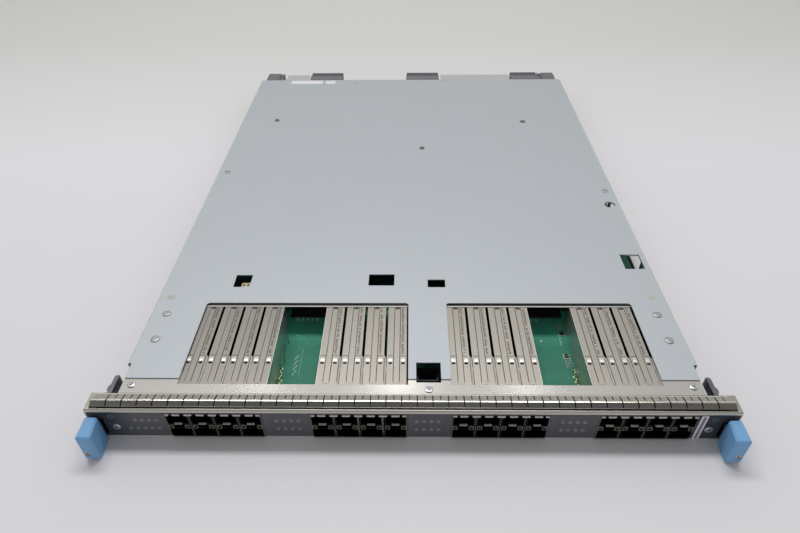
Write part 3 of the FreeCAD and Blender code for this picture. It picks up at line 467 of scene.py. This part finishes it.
# Printed film of the faceplate: slate fields round the lights, near black at the ends.
def overlayMaterial():
    values = {"field": (0.074, 0.077, 0.088), "end": (0.026, 0.029, 0.034),
              "line": (0.10, 0.105, 0.12), "label": 31.5 * mm, "fade": (8 * mm, 10 * mm),
              "gaps": (2.6 * mm, 3.7 * mm), "half": 0.2 * mm}
    tree, shader = newMaterial("overlayFilm")
    x = objectAxes(tree)[0]
    low, high = groupX[0] - groupHalf - values["label"], groupX[3] + groupHalf
    left = rangeTo(tree, x, 0.0, 1.0, low - values["fade"][0], low + values["fade"][1])
    inside = math2(tree, "MULTIPLY", left, math2(tree, "LESS_THAN", x, high))
    colour = mixColour(tree, inside, values["end"], values["field"])
    for middle in groupX[:3]:
        for gap in values["gaps"]:
            place = middle + groupHalf + gap
            line = between(tree, x, place - values["half"], place + values["half"])
            colour = mixColour(tree, line, colour, values["line"])
    grain = useGroup(tree, grainGroup, Stretch=(900, 900, 900), Detail=2.0)
    dress(tree, shader, colour, rangeTo(tree, grain, 0.36, 0.5), grain, 0.15)


# Gives a metal another tone within a box of its Object coordinates. A mirrored span of
# x counts on both sides of the middle.
def toneWithin(name, tone, x=None, y=None, z=None, blend="MIX", mirrored=False):
    tree = looks[name].node_tree
    shader = tree.nodes["Principled BSDF"]
    colour = shader.inputs["Base Color"].links[0].from_socket
    axes = objectAxes(tree)
    inside = 1.0
    for axis, span in zip(axes, (x, y, z)):
        if span:
            if mirrored and axis == axes[0]:
                axis = math2(tree, "ABSOLUTE", axis)
            inside = math2(tree, "MULTIPLY", inside, between(tree, axis, *span))
    tree.links.new(mixColour(tree, inside, colour, tone, blend), shader.inputs["Base Color"])


# Painted shade inside the cages and their mouths, on the face's flange under the gasket (lighter at
# both ends), on the face below the ports and at the gasket's foot; a painted shadow line on the
# bracket behind the gasket; the gasket's front bevel darkened as a painted dark reflection; and a
# seam of painted shade on the tray beside the cover. The left-hand group of cages is darker, and
# the cage walls that face the two board gaps are pale behind the mouths.
def makeTones():
    outside = 1.0      # past every side of the part
    paintedShade = (0.02, 0.02, 0.018)
    cageShade = (0.02, 0.019, 0.017)
    end = groupX[0] + groupHalf
    # Painted shade inside the cages, below their tops and just behind the mouths.
    toneWithin("cageSteel", cageShade, z=(-outside, cageHigh.z - 0.4 * mm))
    toneWithin("cageSteel", cageShade, y=(-outside, faceY + 4 * mm))
    toneWithin("cageSteel", (0.78, 0.78, 0.79), x=(-outside, end), blend="MULTIPLY")
    for wall in (end, groupX[1] - groupHalf, groupX[2] + groupHalf, groupX[3] - groupHalf):
        toneWithin("cageSteel", (0.66, 0.66, 0.62), x=(wall - 0.2 * mm, wall + 0.2 * mm),
                   y=(faceY + 8 * mm, outside))
    # Painted shade on the face's top flange under the gasket.
    toneWithin("faceSteel", paintedShade, x=(-outside, faceEnd - 3.2 * mm),
               y=(faceY + 1.7 * mm, outside), mirrored=True)
    # A lighter painted shade on the flange at both ends, past the gasket.
    toneWithin("faceSteel", (0.33, 0.32, 0.27), x=(faceEnd - 8 * mm, outside),
               y=(faceY + 2.2 * mm, outside), mirrored=True)
    # Painted shade on the face's bent lower edge below each group of ports.
    for middle in groupX:
        toneWithin("faceSteel", paintedShade, x=(middle - groupHalf, middle + groupHalf),
                   z=(-outside, 2.1 * mm))
    # Painted shadow at the gasket's front foot, where it lifts off the lip.
    toneWithin("gasketSteel", paintedShade, y=(-outside, faceY + 3.1 * mm))
    # A painted shadow line on the bracket along the gasket's rear foot.
    toneWithin("bracketSteel", (0.05, 0.045, 0.04),
               y=(-outside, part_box("emi_gasket")[1].y + 0.9 * mm))
    # The gasket's front bevel darkened: a painted dark reflection.
    toneWithin("gasketSteel", (0.62, 0.61, 0.60), y=(-outside, faceY + 6.6 * mm), blend="MULTIPLY")
    # A seam of painted shade on the tray's flange beside the cover's edge.
    toneWithin("traySteel", (0.10, 0.105, 0.105),
               x=(coverHigh.x - 3 * mm, coverHigh.x + 0.4 * mm), mirrored=True)


headerMaterial()
makeTones()
plugMaterial()
boardMaterial()
overlayMaterial()

slotMaterials = {
    "case_steel": "caseSteel", "bracket_steel": "bracketSteel", "face_steel": "faceSteel",
    "overlay_film": "overlayFilm", "light_guide": "clearPlastic", "gasket_spring": "springSteel",
    "circuit_board": "circuitBoard", "cage_steel": "cageSteel", "connector_plastic": "blackPlastic",
    "light_pipe": "pipePlastic", "lever_steel": "leverSteel", "knob_plastic": "knobPlastic",
    "screw_steel": "screwSteel", "plug_plastic": "plugPlastic", "guide_plastic": "guidePlastic",
    "heat_sink": "sinkAluminium", "chip": "chipPlastic", "brick": "brickPlastic",
    "capacitor_can": "canAluminium", "header_plastic": "headerPlastic", "spacer_brass": "brass"}
nodeMaterials = {"bottom_tray": "traySteel", "rear_stiffener": "stiffenerSteel"}
for name, node in nodes.items():
    node.data.materials.clear()
    node.data.materials.append(looks[nodeMaterials.get(name, slotMaterials[slotOf[name]])])
print("materials ready:", len(bpy.data.materials))


# The finger strip: a grid whose rows follow the bent profile (flat foot, steep front
# bevel, rounded crest, long rear slope, flat foot) and whose columns stop at every
# slit. Cells inside a slit are left out, and Solidify gives the sheet its thickness.
def makeGasket():
    values = {"slit": 0.8 * mm, "halfSlit": 0.7 * mm, "pitch": 10.35 * mm, "shift": 4.6 * mm,
              "foot": 0.8 * mm, "sheet": 0.28 * mm, "taper": 2.4 * mm, "margin": 0.05 * mm,
              "crestShare": 0.41, "soft": 0.16, "rows": 25, "longSlit": (0.09, 0.93),
              "shortSlit": (0.56, 0.93), "taperFrom": 0.45}
    low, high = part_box("emi_gasket")
    base, top = low.z + values["sheet"], high.z - 0.02 * mm
    crest = low.y + values["crestShare"] * (high.y - low.y)
    t = np.linspace(0, 1, values["rows"])
    y = low.y + values["margin"] + t * (high.y - low.y - 2 * values["margin"])
    front = (y - low.y - values["foot"]) / (crest - low.y - values["foot"])
    rear = (high.y - values["foot"] - y) / (high.y - values["foot"] - crest)
    rise = np.minimum(np.clip(front, 0, 1), np.clip(rear, 0, 1))
    soft = values["soft"]                      # rounds the crest off
    over = rise - 1 + soft
    rise = np.where(over > 0, 1 - soft + over * (1 - over / (2 * soft)), rise)
    z = base + (top - base) * rise / rise.max()
    count = int((high.x - values["taper"]) / values["pitch"])
    stops = []
    for i in range(-count, count):             # one long slit, then a half slit
        x = values["shift"] + i * values["pitch"]
        middle = x + values["pitch"] / 2
        stops += [(x - values["slit"] / 2, 1), (x + values["slit"] / 2, 0),
                  (middle - values["halfSlit"] / 2, 2), (middle + values["halfSlit"] / 2, 0)]
    stops = [(low.x + values["margin"], 0)] + stops + [(high.x - values["margin"], 0)]
    x = np.array([place for place, kind in stops])
    kind = np.array([kind for place, kind in stops])[:-1]
    share = (np.arange(len(t) - 1) + 0.5) / (len(t) - 1)
    longRows, shortRows = ((share > values[slit][0]) & (share < values[slit][1])
                           for slit in ("longSlit", "shortSlit"))
    hole = (longRows[:, None] & (kind == 1)[None]) | (shortRows[:, None] & (kind == 2)[None])
    xx = np.repeat(x[None], len(t), 0)
    pinch = np.clip((t - values["taperFrom"]) / (1 - values["taperFrom"]), 0, 1) ** 1.5
    xx[:, 0] += pinch * values["taper"]
    xx[:, -1] -= pinch * values["taper"]
    corners = np.stack([xx, np.repeat(y[:, None], len(x), 1), np.repeat(z[:, None], len(x), 1)], -1)
    piece = makePiece("gasketFingers", corners.reshape(-1, 3),
                      gridFaces(len(t), len(x), keep=~hole), "gasketSteel", "gasket_spring")
    solidify(piece, values["sheet"])
    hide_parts("emi_gasket")


makeGasket()
print("gasket made")


# A pan head with a cross recess: height over (radius, angle) is a dome, less a pit
# where the point lies within a cross whose arms narrow with depth.
def screwHead(radius, rise, armLength, armWidth, depth):
    values = {"inner": 0.02, "outer": 0.94, "dome": 0.75, "wall": 0.4, "tip": 0.3}
    rings, sides = 15, 40
    r = np.linspace(values["inner"], values["outer"], rings - 2)
    r = np.concatenate([r, [1.0, 1.0]]) * radius
    angle = np.linspace(0, 2 * np.pi, sides, endpoint=False)
    rr, aa = np.meshgrid(r, angle, indexing="ij")
    x, y = rr * np.cos(aa), rr * np.sin(aa)
    z = rise * np.sqrt(1 - (rr / radius) ** 2 * values["dome"])
    arm = np.minimum(np.abs(x), np.abs(y))
    reach = np.maximum(np.abs(x), np.abs(y))
    inside = np.clip((armWidth - arm) / (armWidth * values["wall"]), 0, 1)
    inside = inside * np.clip((armLength - reach) / (armLength * values["tip"]), 0, 1)
    z = z - depth * inside
    z[-1] = 0
    corners = np.stack([x, y, z], -1).reshape(-1, 3)
    centre = np.array([[0, 0, z[0].mean()]])
    faces = gridFaces(rings, sides, closeColumns=True)
    k = np.arange(0, sides, 2)
    cap = np.stack([np.full(len(k), rings * sides), (k + 2) % sides, (k + 1) % sides, k], -1)
    return np.concatenate([corners, centre]), np.concatenate([faces, cap])[:, ::-1]


# Heads where the CAD screws stand: each cluster of corners at the top is one head.
def makeScrews():
    head = {"radius": 2.8 * mm, "rise": 0.88 * mm, "armLength": 1.5 * mm, "armWidth": 0.42 * mm,
            "depth": 0.75 * mm}
    values = {"pitShade": (2.1, 2.1, 0.04), "dot": (1.0, 1.0, 0.07), "facePitShade": (2.0, 1.7, 0.1),
              "cell": 8 * mm, "postsFrom": 330 * mm, "sink": 0.04 * mm, "layer": 0.05 * mm}
    slot = "screw_steel"
    shape = screwHead(**head)
    pitShade = padShape(*values["pitShade"], power=2.0, rim=0.02)
    dot = padShape(*values["dot"], power=2.0, rim=0.02, sides=16)
    for kind, look in (("cover", "coverScrew"), ("bracket", "screwSteel")):
        points = meshPoints(kind + "_screws")
        crest = points[:, 2].max()
        top = points[points[:, 2] > crest - values["layer"]]
        cells = np.unique(np.round(top[:, :2] / values["cell"]).astype(int), axis=0)
        seats = []
        for cell in cells:
            mine = top[(np.abs(top[:, :2] - cell * values["cell"]) < values["cell"]).all(1)]
            seats.append((*((mine.min(0) + mine.max(0)) / 2)[:2], crest - head["rise"]))
        seats = np.unique(np.round(seats, 5), axis=0)
        posts = seats[:, 1] > faceY + values["postsFrom"]
        piece = placeCopies(kind + "ScrewHeads", shape, seats[~posts], look, slot, smooth=True)
        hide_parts(kind + "_screws")
        crowns = seats[~posts] + (0, 0, head["rise"] - values["sink"])
        # A dark pad of painted shade in the cross recess of each bracket screw.
        if kind == "bracket":
            placeCopies("bracketScrewPitShade", pitShade, crowns, "darkScrew", slot)
        # A brighter dot at each crown: a painted highlight.
        placeCopies(kind + "ScrewGlints", dot, crowns, "screwSteel", slot)
        if posts.any():
            placeCopies("postScrewHeads", shape, seats[posts], "darkScrew", slot, smooth=True)
    low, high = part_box("face_screws")
    middle = (low.z + high.z) / 2
    seats = [(x, faceY, middle) for x in (low.x + head["radius"], high.x - head["radius"])]
    front = facingFront(shape)
    piece = placeCopies("faceScrewHeads", front, seats, "screwSteel", slot, smooth=True)
    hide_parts("face_screws")
    # A black pad of painted shade in the recess of each face screw.
    pitShade = facingFront(padShape(*values["facePitShade"], power=1.2))
    crowns = [(x, y - head["rise"], z) for x, y, z in seats]
    placeCopies("faceScrewPitShade", pitShade, crowns, "blackPlastic", slot)


makeScrews()
print("screws made")


# Light windows: four across and two high in each free zone, as low rounded pads on
# the film, with a faint mark above or below each.
def makeLights():
    values = {"pitch": 4.85 * mm, "rows": (11.0 * mm, 19.6 * mm), "size": (2.7, 2.9, 0.06),
              "markGap": 2.7 * mm, "mark": (1.1, 0.9, 0.036), "across": 4, "lone": 12.2 * mm,
              "zoneGap": 20 * mm}
    x = np.sort(meshPoints("light_guides")[:, 0])
    split = np.where(np.diff(x) > values["zoneGap"])[0]
    edges = [x[0], *[v for s in split for v in (x[s], x[s + 1])], x[-1]]
    centres = [(edges[i] + edges[i + 1]) / 2 for i in range(0, len(edges), 2)]
    spots, marks = [], []
    for centre in centres:
        for column in range(values["across"]):
            place = centre + (column - (values["across"] - 1) / 2) * values["pitch"]
            for z, side in zip(values["rows"], (-1, 1)):
                spots.append((place, filmY, z))
                marks.append((place, filmY, z + side * values["markGap"]))
    spots.append((centres[0] - values["lone"], filmY, values["rows"][0]))
    spot = padShape(*values["size"], power=2.6, rim=0.1)
    mark = padShape(*values["mark"], power=3.0, sides=12)
    placeCopies("lightSpots", facingFront(spot), spots, "lightSpot", "light_guide", smooth=True)
    placeCopies("lightMarks", facingFront(mark), marks, "spotInk", "overlay_film")


# A pale strip on the bare lower edge of the face below the film, in the free zones: a painted
# reflection of the bent steel.
def makeLowerEdge():
    values = {"z": 1.95 * mm, "height": 0.8, "proud": 0.08, "gap": 0.4, "end": 5.4 * mm}
    end = faceEnd - values["end"]
    stops = [-end, *bothSides(groupX, groupHalf), end]
    for k in range(0, len(stops), 2):
        width = (stops[k + 1] - stops[k]) / mm - 2 * values["gap"]
        # A pale diffuse strip painted in for the edge's reflection.
        strip = padShape(width, values["height"], values["proud"], power=30.0, rim=0.1, sides=32)
        middle = [((stops[k] + stops[k + 1]) / 2, faceY, values["z"])]
        placeCopies("lowerEdgeSheen" + str(k // 2), facingFront(strip), middle, "paper", "face_steel")


# A bare label strip at the right-hand end, its grey field within a pale border, and
# a faint ring above each end screw.
def makeLabelStrip():
    values = {"x": 192.25 * mm, "z": 14.3 * mm, "strip": (4.5, 25.4, 0.08),
              "field": (1.9, 23.4, 0.13), "ring": (3.8 * mm, 3.4 * mm, 0.5 * mm, 0.08 * mm),
              "ringX": 199.5 * mm, "ringZ": 23.2 * mm}
    middle = [(values["x"], filmY, values["z"])]
    strip = padShape(*values["strip"], power=30.0, rim=0.1, sides=32)
    placeCopies("labelStrip", facingFront(strip), middle, "paper", "overlay_film")
    field = padShape(*values["field"], power=30.0, sides=32)
    placeCopies("labelField", facingFront(field), middle, "lightSpot", "overlay_film")
    ring = frameShape(*values["ring"], power=2.0, sides=28)
    y = filmY - values["ring"][3]
    seats = [(x, y, values["ringZ"]) for x in bothSides([0], values["ringX"])]
    placeCopies("ringMarks", ring, seats, "ringInk", "overlay_film")


makeLights()
makeLowerEdge()
makeLabelStrip()
print("faceplate print made")


# Spring fingers round the top of each mouth: a ribbon that leaves the cage top, bends
# forward and curls down in front, following a quarter circle.
def makeMouthSprings():
    values = {"width": 5.3 * mm, "endWidth": 2.6 * mm, "radius": 0.75 * mm, "front": -1.0 * mm,
              "sheet": 0.12 * mm, "start": 0.9 * mm, "lift": 0.1 * mm, "turn": 0.6, "drop": 0.9}
    angle = np.linspace(0, np.pi * values["turn"], 9)
    top = cageHigh.z - 0.05 * mm + values["lift"]
    y = faceY + values["front"] + values["radius"] * (1 - np.sin(angle))
    z = top - values["radius"] * (1 - np.cos(angle)) * values["drop"]
    profile = np.stack([np.append(faceY + values["start"], y), np.append(top, z)], -1)
    inner = [(middle + k * cagePitch / 2, 0, 0) for middle in groupX for k in range(-3, 4)]
    ends = [(x, 0, 0) for x in bothSides(groupX, groupHalf - values["endWidth"] / 2)]
    for name, width, places in (("mouthSprings", "width", inner),
                                ("mouthEndSprings", "endWidth", ends)):
        piece = placeCopies(name, ribbonShape(profile, values[width]), places, "mouthSteel",
                            "gasket_spring", smooth=True)
        solidify(piece, values["sheet"])


# Between the two ports: a small frame round each light pipe, and a pale tab that
# rises by a quarter of a sine.
def makeDividers():
    values = {"ring": (3.3 * mm, 3.8 * mm, 0.42 * mm, 0.5 * mm), "ringX": 5.45 * mm,
              "ringZ": 13.6 * mm, "tabWidth": 5.2 * mm, "tabZ": 17.05 * mm, "tabReach": 0.7 * mm,
              "tabLength": 1.5 * mm, "tabRise": 0.3 * mm, "sheet": 0.3 * mm}
    front = cageLow.y - 0.1 * mm
    places = [(x, front, values["ringZ"]) for x in bothSides(cageX, values["ringX"])]
    placeCopies("pipeFrames", frameShape(*values["ring"]), places, "pipeFrame", "light_pipe")
    s = np.linspace(0, 1, 7)
    profile = np.stack([front - values["tabReach"] + values["tabLength"] * s,
                        values["tabZ"] + values["tabRise"] * np.sin(s * np.pi / 2)], -1)
    piece = placeCopies("portTabs", ribbonShape(profile, values["tabWidth"]),
                        [(x, 0, 0) for x in cageX], "tabPlate", "cage_steel", smooth=True)
    solidify(piece, values["sheet"])


# One thin upright strip between neighbouring cages, and one at each end of a group:
# a narrow pad turned to the front.
def makeColumnLines():
    values = {"size": (0.4, 23.3, 1.6), "y": 0.82 * mm, "z": 14.25 * mm, "endGap": 0.15 * mm}
    bar = padShape(*values["size"], power=12.0, rim=0.08, sides=12)
    y, z = faceY + values["y"], values["z"]
    places = [(x, y, z) for x in gapX + bothSides(groupX, groupHalf + values["endGap"])]
    placeCopies("columnLines", facingFront(bar), places, "pipeFrame", "gasket_spring")


makeMouthSprings()
makeDividers()
makeColumnLines()
print("port mouths made")


# Seam lines beside the rib, a row of small dashes on the right-hand strip, and at each
# latch a dark line and a raised tab, whose height follows half a sine.
def makeCageTops():
    values = {"rib": 3.9, "seam": 0.55, "start": 27.0, "end": 104.0, "dashStart": 54.0,
              "dashEnd": 101.0, "dashX": 4.1, "dashes": 38, "shown": 0.85, "jitter": 0.3,
              "tabX": 4.5 * mm, "tabStart": 46.4 * mm, "tabLength": 4.2 * mm, "tabRise": 0.24 * mm,
              "tabLift": 0.02 * mm, "tabWidth": 2.9 * mm, "lineX": 4.6, "lineY": 51.6}
    top = cageHigh.z - 0.15 * mm
    length, middle = values["end"] - values["start"], (values["start"] + values["end"]) / 2
    seamX = (values["rib"] + values["seam"]) / 2
    centres = cageX / mm
    random = np.random.default_rng(7)
    y = np.linspace(values["dashStart"], values["dashEnd"], values["dashes"])
    dashes = []
    for x in centres:
        shown = random.random(len(y)) < values["shown"]
        jitter = random.uniform(-values["jitter"], values["jitter"], len(y))
        dashes += zip(x + values["dashX"] + jitter[shown], y[shown])
    placePads(top, (
        ("cageSeams", "printInk", "cage_steel", (values["seam"], length, 0.06), (20.0, 0.05, 8, 2),
         [(x, middle) for x in bothSides(centres, seamX)]),
        ("cageRibs", "ribSteel", "cage_steel", (values["rib"], length, 0.03), (30.0, 0.02, 8, 2),
         [(x, middle) for x in centres]),
        ("cageDashes", "printInk", "cage_steel", (1.8, 0.75, 0.04), (6.0, 0.04, 8, 2), dashes)))
    s = np.linspace(0, 1, 8)
    profile = np.stack([faceY + values["tabStart"] + values["tabLength"] * s,
                        top + values["tabRise"] * np.sin(s * np.pi) + values["tabLift"]], -1)
    places = [(x, 0, 0) for x in bothSides(cageX, values["tabX"])]
    placeCopies("latchTabs", ribbonShape(profile, values["tabWidth"]), places, "tabSteel",
                "cage_steel", smooth=True)
    placePads(top, (
        ("cageLines", "printInk", "cage_steel", (4.2, 0.55, 0.05), (16.0, 0.05, 8, 2),
         [(x, values["lineY"]) for x in bothSides(centres, values["lineX"])]),))


# Pale bridges over the spring strips between neighbouring cages, in front of the latches.
def makeBridges():
    values = {"width": 1.35, "start": 24.0, "end": 50.5, "height": 0.2, "drop": 0.42 * mm}
    length, middle = values["end"] - values["start"], (values["start"] + values["end"]) / 2
    placePads(cageHigh.z - values["drop"], (
        ("gapBridges", "tabPlate", "cage_steel", (values["width"], length, values["height"]),
         (24.0, 0.15, 12, 4), [(x / mm, middle) for x in gapX]),))


makeCageTops()
makeBridges()
print("cage tops made")


# Pale print, pads and small parts on the board, at given places in the two gaps.
def makeBoardDetails():
    gapLeft = (groupX[0] + groupX[1]) / 2 / mm
    gapRight = (groupX[2] + groupX[3]) / 2 / mm
    gapWidth = (groupX[1] - groupX[0] - 2 * groupHalf) / mm
    left = (groupX[0] + groupHalf) / mm + 2.0
    right = (groupX[3] - groupHalf) / mm - 2.0
    random = np.random.default_rng(11)
    dashes = [(gapLeft + 0.9 * (i % 3) - 6.0, 53.0 + 1.7 * i) for i in range(12)]
    dashes += [(gapLeft - 8.2, 94.0)]
    dashes += [(right + random.uniform(-4.5, -3.5), 84.0 + 1.5 * i) for i in range(10)]
    pads = [(gapLeft + k * 4.1 - 10.5, 111.5) for k in range(5)]
    pads += [(gapRight + k * 4.1 - 13.0, 111.0) for k in range(3)]
    gold = [(left + random.uniform(-1.0, 1.6), 24.0 + 2.3 * i) for i in range(16)]
    gold += [(right - random.uniform(-1.0, 1.6), 24.0 + 2.3 * i) for i in range(16)]
    chips = [(right - 1.6, 96.0), (right - 2.6, 72.0)]
    small = [(right - 0.4 - 1.9 * (i % 3), 62.0 + 2.4 * (i // 3)) for i in range(12)]
    small += [(right - 5.6 + 1.8 * (i % 3), 102.0 + 2.2 * (i // 3)) for i in range(6)]
    dark = [(left + random.uniform(-1.2, 1.2), 30.0 + 2.9 * i) for i in range(22)]
    dark += [(right - random.uniform(-1.2, 1.2), 25.0 + 2.9 * i) for i in range(14)]
    silk = ("silkWhite", "circuit_board")
    placePads(boardTop, (
        ("boardDots", *silk, (1.9, 1.9, 0.08), (2.0, 0.05, 20, 4),
         [(gapLeft + 12.5, 87.0), (gapRight - 4.5, 88.0)]),
        ("boardPrint", *silk, (0.5, 1.9, 0.05), (8.0, 0.05, 8, 2), dashes),
        ("boardFinePrint", *silk, (0.35, 0.9, 0.05), (8.0, 0.05, 8, 2),
         [(gapLeft - 1.4, 53.0 + 1.6 * i) for i in range(17)]),
        ("boardMark", *silk, (2.4, 0.5, 0.05), (8.0, 0.05, 8, 2), [(gapLeft - 7.2, 93.0)]),
        ("boardPads", *silk, (1.7, 3.4, 0.1), (10.0, 0.05, 12, 4), pads),
        ("boardGold", "goldPads", "spacer_brass", (1.2, 1.8, 0.1), (8.0, 0.05, 12, 4), gold),
        ("chipOutlines", *silk, (4.8, 4.8, 0.05), (14.0, 0.05, 24, 4), chips),
        ("boardChips", "chipPlastic", "chip", (3.6, 3.6, 0.9), (14.0, 0.15, 24, 4), chips),
        ("boardBars", "blackPlastic", "connector_plastic", (gapWidth, 12.0, 1.0),
         (60.0, 0.3, 24, 4), [(gapLeft, 119.5), (gapRight, 119.5)]),
        ("boardSmallParts", "tabPlate", "header_plastic", (0.9, 1.5, 0.5), (10.0, 0.08, 12, 4),
         small),
        ("boardDarkParts", "chipPlastic", "chip", (0.9, 1.5, 0.5), (10.0, 0.08, 12, 4), dark)))


# The cream header seen through the left-hand hole of the cover, with black pads of painted shade in
# its two wells.
def makeHoleHeader():
    values = {"x": -137.0, "y": 132.5, "size": (8.0, 6.0), "coverGap": 5.5 * mm,
              "well": (1.5, 2.2, 0.05), "wellX": 1.8}
    top = coverHigh.z - values["coverGap"]
    placePads(boardTop, (
        ("holeHeader", "creamPlastic", "header_plastic", (*values["size"], (top - boardTop) / mm),
         (14.0, 0.3, 24, 4), [(values["x"], values["y"])]),))
    # Black pads of painted shade in the header's two wells.
    placePads(top, (
        ("holeHeaderWellShade", "blackPlastic", "header_plastic", values["well"], (8.0, 0.03, 12, 4),
         [(x, values["y"]) for x in bothSides([values["x"]], values["wellX"])]),))


# A thin bright rail across each window on the cages' rear ends, a black strip of painted
# shadow behind it under the cover's edge, and a black pad of painted shade in the notch in front of
# it on each cage.
def makeRails():
    values = {"margin": 0.6, "rail": (-2.7, -1.5), "strip": (-1.5, 0.25), "height": 0.25,
              "notch": (3.5, 2.4, 0.06), "notchY": -4.0}
    rear = (cageHigh.y - faceY) / mm
    reach = cageWidth / 2 / mm + values["margin"]
    rows = []
    for name, first, last in (("Left", 0, 7), ("Right", 8, 14)):
        low, high = cageX[first] / mm - reach, cageX[last] / mm + reach
        # The black strip is a painted shadow under the cover's edge.
        for kind, look in (("rail", "tabSteel"), ("strip", "blackPlastic")):
            start, end = values[kind]
            rows.append((kind + name, look, "gasket_spring",
                         (high - low, end - start, values["height"]), (60.0, 0.1, 32, 4),
                         [((low + high) / 2, rear + (start + end) / 2)]))
    # Black pads of painted shade in the cages' rear notches.
    rows.append(("cageNotchShade", "blackPlastic", "cage_steel", values["notch"], (6.0, 0.05, 12, 4),
                 [(x / mm, rear + values["notchY"]) for x in cageX]))
    placePads(cageHigh.z, rows)


makeBoardDetails()
makeHoleHeader()
makeRails()
print("board details made")


# Bare labels, corner marks and beige spots on the cover.
def makeCoverDetails():
    rear = (coverHigh.y - faceY) / mm
    steel = "case_steel"
    placePads(coverHigh.z, (
        ("rearLabel", "paper", steel, (42.5, 10.4, 0.1), (40.0, 0.1, 32, 4),
         [(-139.2, rear - 7.6)]),
        ("rearLabelShort", "paper", steel, (13.0, 10.2, 0.1), (40.0, 0.1, 32, 4),
         [(-107.5, rear - 7.7)]),
        ("beigeSpots", "beigeSeal", steel, (7.0, 5.4, 0.06), (2.0, 0.2, 28, 4),
         [(-192.0, 111.5), (192.0, 111.5)]),
        ("centreDot", "beigeSeal", steel, (3.0, 2.6, 0.05), (2.0, 0.1, 20, 4), [(-1.0, 173.0)]),
        ("edgeMarks", "darkScrew", steel, (3.4, 1.3, 0.05), (3.0, 0.1, 16, 4),
         [(-60.6, 541.0), (47.3, 542.0), (-72.0, 535.0)]),
        ("cornerMarks", "caseSteel", steel, (0.7, 9.0, 0.04), (12.0, 0.05, 12, 4),
         [(-112.6, 154.5), (109.8, 154.8)])))


# A black pad of painted shade for the socket in each grip's screw.
def makeSockets():
    socket = facingFront(padShape(1.5, 1.5, 0.05, power=2.4))
    for side in ("left", "right"):
        low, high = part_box("knob_screw_" + side)
        seat = ((low.x + high.x) / 2, low.y, (low.z + high.z) / 2)
        placeCopies("screwSocketShade_" + side, socket, [seat], "blackPlastic", "screw_steel",
                    body=side + "_ejector")


makeCoverDetails()
makeSockets()
print("cover details made")


# The bench: a flat grid that turns up far behind, its height following a circle.
def makeFloor():
    values = {"near": -2.5, "flatTo": 0.9, "rowsFrom": 1.2, "far": 3.2, "bend": 1.2, "half": 4.0,
              "rows": 24, "columns": 5, "pale": (0.71, 0.695, 0.715), "paler": (0.745, 0.73, 0.75),
              "rear": (0.62, 0.615, 0.60), "rearFrom": 0.1, "rearTo": 0.50}
    start = values["far"] - values["bend"]
    y = np.concatenate([[values["near"], values["flatTo"]],
                        np.linspace(values["rowsFrom"], values["far"], values["rows"])])
    drop = np.sqrt(np.clip(values["bend"] ** 2 - (y - start) ** 2, 0, None))
    z = np.where(y > start, values["bend"] - drop, 0)
    x = np.linspace(-values["half"], values["half"], values["columns"])
    corners = np.stack([*np.meshgrid(x, y), np.repeat(z[:, None], len(x), 1)], -1).reshape(-1, 3)
    tree, shader = newMaterial("benchTop")
    handled = useGroup(tree, handlingGroup, Scale=2.2, Sharpness=1.2)
    pale = mixColour(tree, handled, values["pale"], values["paler"])
    rear = rangeTo(tree, objectAxes(tree)[1], 0.0, 1.0, values["rearFrom"], values["rearTo"])
    tree.links.new(mixColour(tree, rear, pale, values["rear"]), shader.inputs["Base Color"])
    shader.inputs["Roughness"].default_value = 0.55
    shader.inputs["Specular IOR Level"].default_value = 0.25
    meshObject("bench", corners, gridFaces(len(y), len(x)), "benchTop", smooth=True)


# A rectangular lamp whose face looks from its place to the target.
def addAreaLight(name, place, target, size, power):
    light = bpy.data.lights.new(name, "AREA")
    light.shape = "RECTANGLE"
    light.size, light.size_y = size
    light.energy = power
    back = np.array(place) - np.array(target)
    back = back / np.linalg.norm(back)
    side = np.cross((0, 1, 0), back)
    side = side / np.linalg.norm(side)
    turn = np.column_stack([side, np.cross(back, side), back, place])
    linked(name, light).matrix_world = Matrix([*turn.tolist(), (0, 0, 0, 1)])


# Pale surroundings, darker overhead and in front than behind the card.
def makeWorld():
    values = {"low": (0.92, 0.92, 0.91), "high": (0.24, 0.245, 0.26), "front": 0.6,
              "rise": (0.4, 1.0), "depth": (-0.6, 0.4)}
    world = bpy.data.worlds.new("room")
    bpy.context.scene.world = world
    world.use_nodes = True
    tree = world.node_tree
    coords = addNode(tree, "ShaderNodeTexCoord")
    split = addNode(tree, "ShaderNodeSeparateXYZ", {"Vector": coords.outputs["Generated"]})
    up = rangeTo(tree, split.outputs[2], 0.0, 1.0, *values["rise"], "SMOOTHSTEP")
    colour = mixColour(tree, up, values["low"], values["high"])
    behind = rangeTo(tree, split.outputs[1], values["front"], 1.0, *values["depth"])
    background = tree.nodes["Background"]
    tree.links.new(colour, background.inputs["Color"])
    tree.links.new(behind, background.inputs["Strength"])


def makeCamera():
    values = {"place": (-0.00043, faceY - 0.23812, 0.35194), "tilt": 39.824, "turn": 1.229,
              "roll": -0.735, "lens": 26.845}
    camera = bpy.data.cameras.new("view")
    camera.lens, camera.sensor_width = values["lens"], 36.0
    camera.clip_start, camera.clip_end = 0.01, 50.0
    holder = linked("view", camera)
    turn = (Matrix.Rotation(math.radians(values["turn"]), 4, "Z")
            @ Matrix.Rotation(math.radians(90 - values["tilt"]), 4, "X")
            @ Matrix.Rotation(math.radians(values["roll"]), 4, "Z"))
    holder.matrix_world = Matrix.Translation(values["place"]) @ turn
    bpy.context.scene.camera = holder


makeFloor()
makeWorld()
addAreaLight("ceiling", (-0.1, 0.54, 1.9), (0, 0, 0), (1.8, 0.36), 22.5)
tubes = ((-0.62, 0.05, 0.12), (-0.05, 0.13, 0.28), (0.48, 0.07, 0.16))   # x, width, power
for index, (x, width, power) in enumerate(tubes):
    addAreaLight("tube" + str(index), (x, 1.12, 1.64), (0, -0.24, 0), (width, 0.14), power)
makeCamera()
bpy.context.scene.view_settings.view_transform = "Standard"

print("scene ready")
